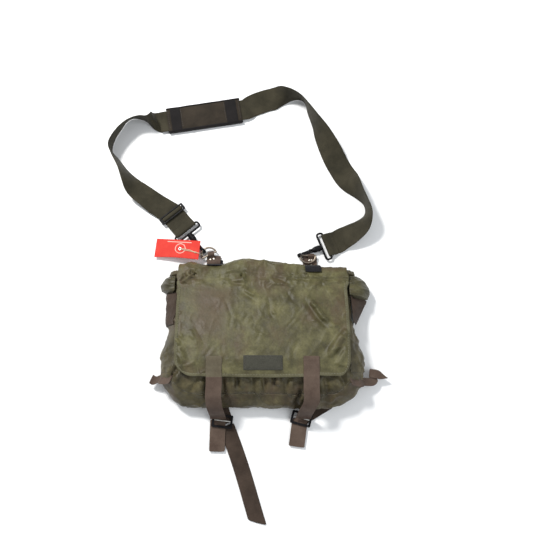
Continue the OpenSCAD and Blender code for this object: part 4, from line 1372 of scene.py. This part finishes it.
def pad_shell(name, length, width, low, high, material, crown):
    """A flat cushion-like slab with soft edges, in the pad's own frame."""
    columns, rows = 44, 16
    points, uvs = [], []
    for top in (1, 0):
        for b in np.linspace(-1, 1, rows):
            for a in np.linspace(-1, 1, columns):
                edge = (1 - abs(a) ** 14) * (1 - abs(b) ** 8)
                z = high - (1 - edge) * (high - low) * 0.45 + crown * (1 - b * b) * (1 - a ** 6) if top else low
                x, y = a * length / 2, b * width / 2
                points.append(pad_point(x * (1 - 0.012 * abs(b) ** 6), y * (1 - 0.02 * abs(a) ** 10), z))
                uvs.append((y * MM, x * MM))
    return refine(mesh_piece(name, points, slab_faces(rows, columns), material, uvs))


def make_pad():
    """Foam pad in its black cover, with a cloth face, rolled edges and two bands round it."""
    base = pad_shell("pad_underside", 135, 48, 0.2, 3.3, "pad", 0)
    dress(base, "pad", "pad_foam_cover", "pad_base")
    cover = pad_shell("pad_face_cloth", 133, 45, 6.7, 8.2, "pad_face", 0.6)
    dress(cover, "pad", "pad_cover_fabric", "pad_cover")
    section = ((20.6, 3.0), (20.6, 7.9), (21.2, 8.7), (23.2, 8.5),
               (24.2, 7.4), (24.4, 4.4), (23.8, 2.6), (21.6, 2.4))
    for sign, label in ((-1, "near"), (1, "far")):
        points, uvs = [], []
        for x in np.linspace(-67.5, 67.5, 45):
            wave = 0.5 * noise.noise(Vector((x * 0.06, sign * 3, 0)))
            points += [pad_point(x, sign * y + wave, z) for y, z in section]
            uvs += [(j * 0.002, x * MM) for j in range(len(section))]
        piece = mesh_piece("pad_edge_" + label, points, tube_faces(45, len(section)), "pad", uvs)
        dress(refine(piece), "pad", "pad_foam_cover")
    for label, x, width, nodes in (("left", -51, 18, ["pad_bands"]), ("right", 49, 20, [])):
        centres = [pad_point(x, y, 9.1 - 0.0016 * y * y) for y in np.linspace(-23.4, 23.4, 15)]
        strip("pad_band_" + label, path_rings(centres, turned(PAD_TURN)), width, 0.9, "pad",
              "pad", "pad_band_webbing", *nodes)
    for k, x in enumerate((-40.5, 37.5, -63.5, 63.5)):
        row = [pad_point(x, y, 0)[:2] for y in (-19, 19)]
        seam("pad_cross_stitch_%d" % k, cover, row, "pad", "pad_cover_fabric")


def make_slider():
    """Three-bar slider; a short turn of webbing shows over its middle bar."""
    bevelled("strap_slider", "black", 0.8, 3)
    line = ((-4.4, 5.4), (-3.6, 6.8), (-2.9, 8.6), (-1.8, 9.9), (0, 10.3),
            (1.8, 9.9), (2.9, 8.6), (3.6, 6.8), (4.4, 5.4))
    centres = curve([hook_point(0, u - SLIDER_U, 0, z - HOOK_Z) for u, z in line], 3)
    rings = path_rings(centres, turned(HOOK_TURN[0] + 90))
    piece = strip("slider_turn", rings, STRAP_W - 0.6, 1.1, "strap", "slider", "strap_webbing")
    return [piece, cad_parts["strap_slider"]]


# ---- Swing tag ----

def tag_point(x, y, z):
    """A point of the tag's own frame: the origin is the middle of its right edge, on its lower face."""
    slope = math.radians(TAG_SLOPE)
    u = x * math.cos(slope) - z * math.sin(slope)
    w = x * math.sin(slope) + z * math.cos(slope)
    return Vector(TAG_AT) + turned(TAG_TURN) * u + turned(TAG_TURN + 90) * y + Vector((0, 0, w))


def printed_spot(x, y):
    """Where the plain print is: a thin ring round the eyelet and a short line above it, in mm."""
    away = math.hypot(x - EYELET_AT[0], y - EYELET_AT[1])
    return 8.0 < away < 9.3 or (abs(y - 12.2) < 0.6 and -58 < x < -16)


def make_card():
    """Plain red card with a plain ring and line printed on it, its lower edge arched up in the middle."""
    columns, rows = 116, 50
    width, height = TAG_SIZE
    spots = [(x, y) for y in np.linspace(-height / 2, height / 2, rows)
             for x in np.linspace(-width, 0, columns)]
    points = []
    for lift in (0.8, 0.0):
        for x, y in spots:
            arch = 1.5 * (1 - (2 * x / width + 1) ** 2) * smoothstep(4, -height / 2, y)
            points.append(tag_point(x, y + arch, lift + 0.35 * math.sin(x * 0.05 + 1) * y / height))

    def kept(face):
        x, y = (sum(spots[i][axis] for i in face) / 4 - EYELET_AT[axis] for axis in (0, 1))
        return math.hypot(x, y) > 1.9

    piece = mesh_piece("tag_card", points, slab_faces(rows, columns, kept), "red")
    piece.data.materials.append(MATERIALS["print"])
    for face in piece.data.polygons:
        if max(face.vertices) < len(spots):
            face.material_index = int(printed_spot(*spots[face.vertices[0]]))
    dress(piece, "tag", "red_card", "swing_tag")


def make_tag_string():
    """Doubled cotton string from the eyelet round the D-ring's wire."""
    wire_x = RING_AT[0][0] - RING_R
    on_card = ((-34, 0.6, -0.6), (-34, 0.6, 1.6), (-26, -1.4, 1.7), (-16, -2.6, 1.6), (-7, -4.3, 1.6),
               (-0.5, -5.4, 1.55), (0.9, -5.6, 0.6))
    path = [tag_point(*p) for p in on_card] + [Vector((wire_x - 2.6, STRING_Y, 13))]
    path += [Vector((wire_x + x, STRING_Y, RING_Z + z)) for x, z in arc(2.4, 180, 451, 30)]
    centres = curve(path, 4)
    piece = string_piece("tag_cord", centres, 0.5, "tag_string")
    second = ((-34, 0.6, 1.5), (-27, 0.6, 1.6), (-16, -0.9, 1.6), (-9, -3.4, 1.8), (-6, -4.6, 2.4))
    twin = string_piece("tag_cord_second", curve([tag_point(*p) for p in second], 5), 0.45)
    turns = enumerate(arc(1, 0, 721, 30))
    knot = [tag_point(-6.5 + 0.112 * (k - 12), -4.4 + 1.2 * y, 2.0 + z) for k, (y, z) in turns]
    knot = string_piece("tag_cord_knot", knot, 0.45)


def make_tag():
    make_card()
    profile = ((1.6, 0.9), (1.8, 1.25), (2.3, 1.4), (2.8, 1.15), (2.8, 0.8), (2.2, -0.2), (1.6, -0.2))
    ring = lathe("tag_ring", profile, [(0, 0, 0)], "eyelet", closed=True)
    for v in ring.data.vertices:
        x, y, z = v.co / MM
        v.co = tag_point(EYELET_AT[0] + x, EYELET_AT[1] + y, z) * MM
    outward_normals(ring)
    dress(ring, "tag", "eyelet_metal", "tag_eyelet")
    make_tag_string()


# ---- Mouth binding and metal parts ----

def make_mouth_tape():
    section = ((-7, 0.9), (-2, 1.2), (1.0, 0.9), (1.6, -0.6), (1.0, -2.2), (-2, -2.5), (-7, -2.1), (-7.4, -0.6))
    points, uvs = [], []
    for x in np.linspace(-139, 139, 94):
        ripple = 0.5 * noise.noise(Vector((x * 0.05, 3, 0))) - 0.6
        for dy, dz in section:
            points.append(Vector((x, MOUTH_Y + dy, front_z(MOUTH_Y + dy) + dz + ripple)))
            uvs.append((dy * MM, x * MM))
    piece = mesh_piece("mouth_tape", points, tube_faces(94, len(section)), "binding", uvs)
    dress(refine(piece), "bag", "binding_tape", "mouth_binding")


def finish_metal():
    for side in SIDES:
        for node in ("hook_loop_", "hook_body_", "hook_gate_", "buckle_frame_"):
            bevelled(node + side, "black", 0.45)
        bevelled("buckle_bar_" + side, "steel", 0.25)
        bevelled("gate_pin_" + side, "steel", 0.2)
        bevelled("d_ring_" + side, "ring", 0.2)


# ---- The whole bag ----

make_camera()
make_strap()
make_tails()
make_tag()
make_studio()
wall_tree = tree_of(*split_body(*make_body()))
make_back()
make_sides(wall_tree)
make_side_straps(wall_tree)
make_mouth_tape()
flap, flap_edge = make_flap()
flap_tree = tree_of(flap)
make_flap_binding(flap_edge)
for closure_side in (0, 1):
    make_closure_strap(closure_side, flap_tree)
    make_pull_tab(closure_side)
make_patch(flap_tree)
make_hangers()
finish_metal()
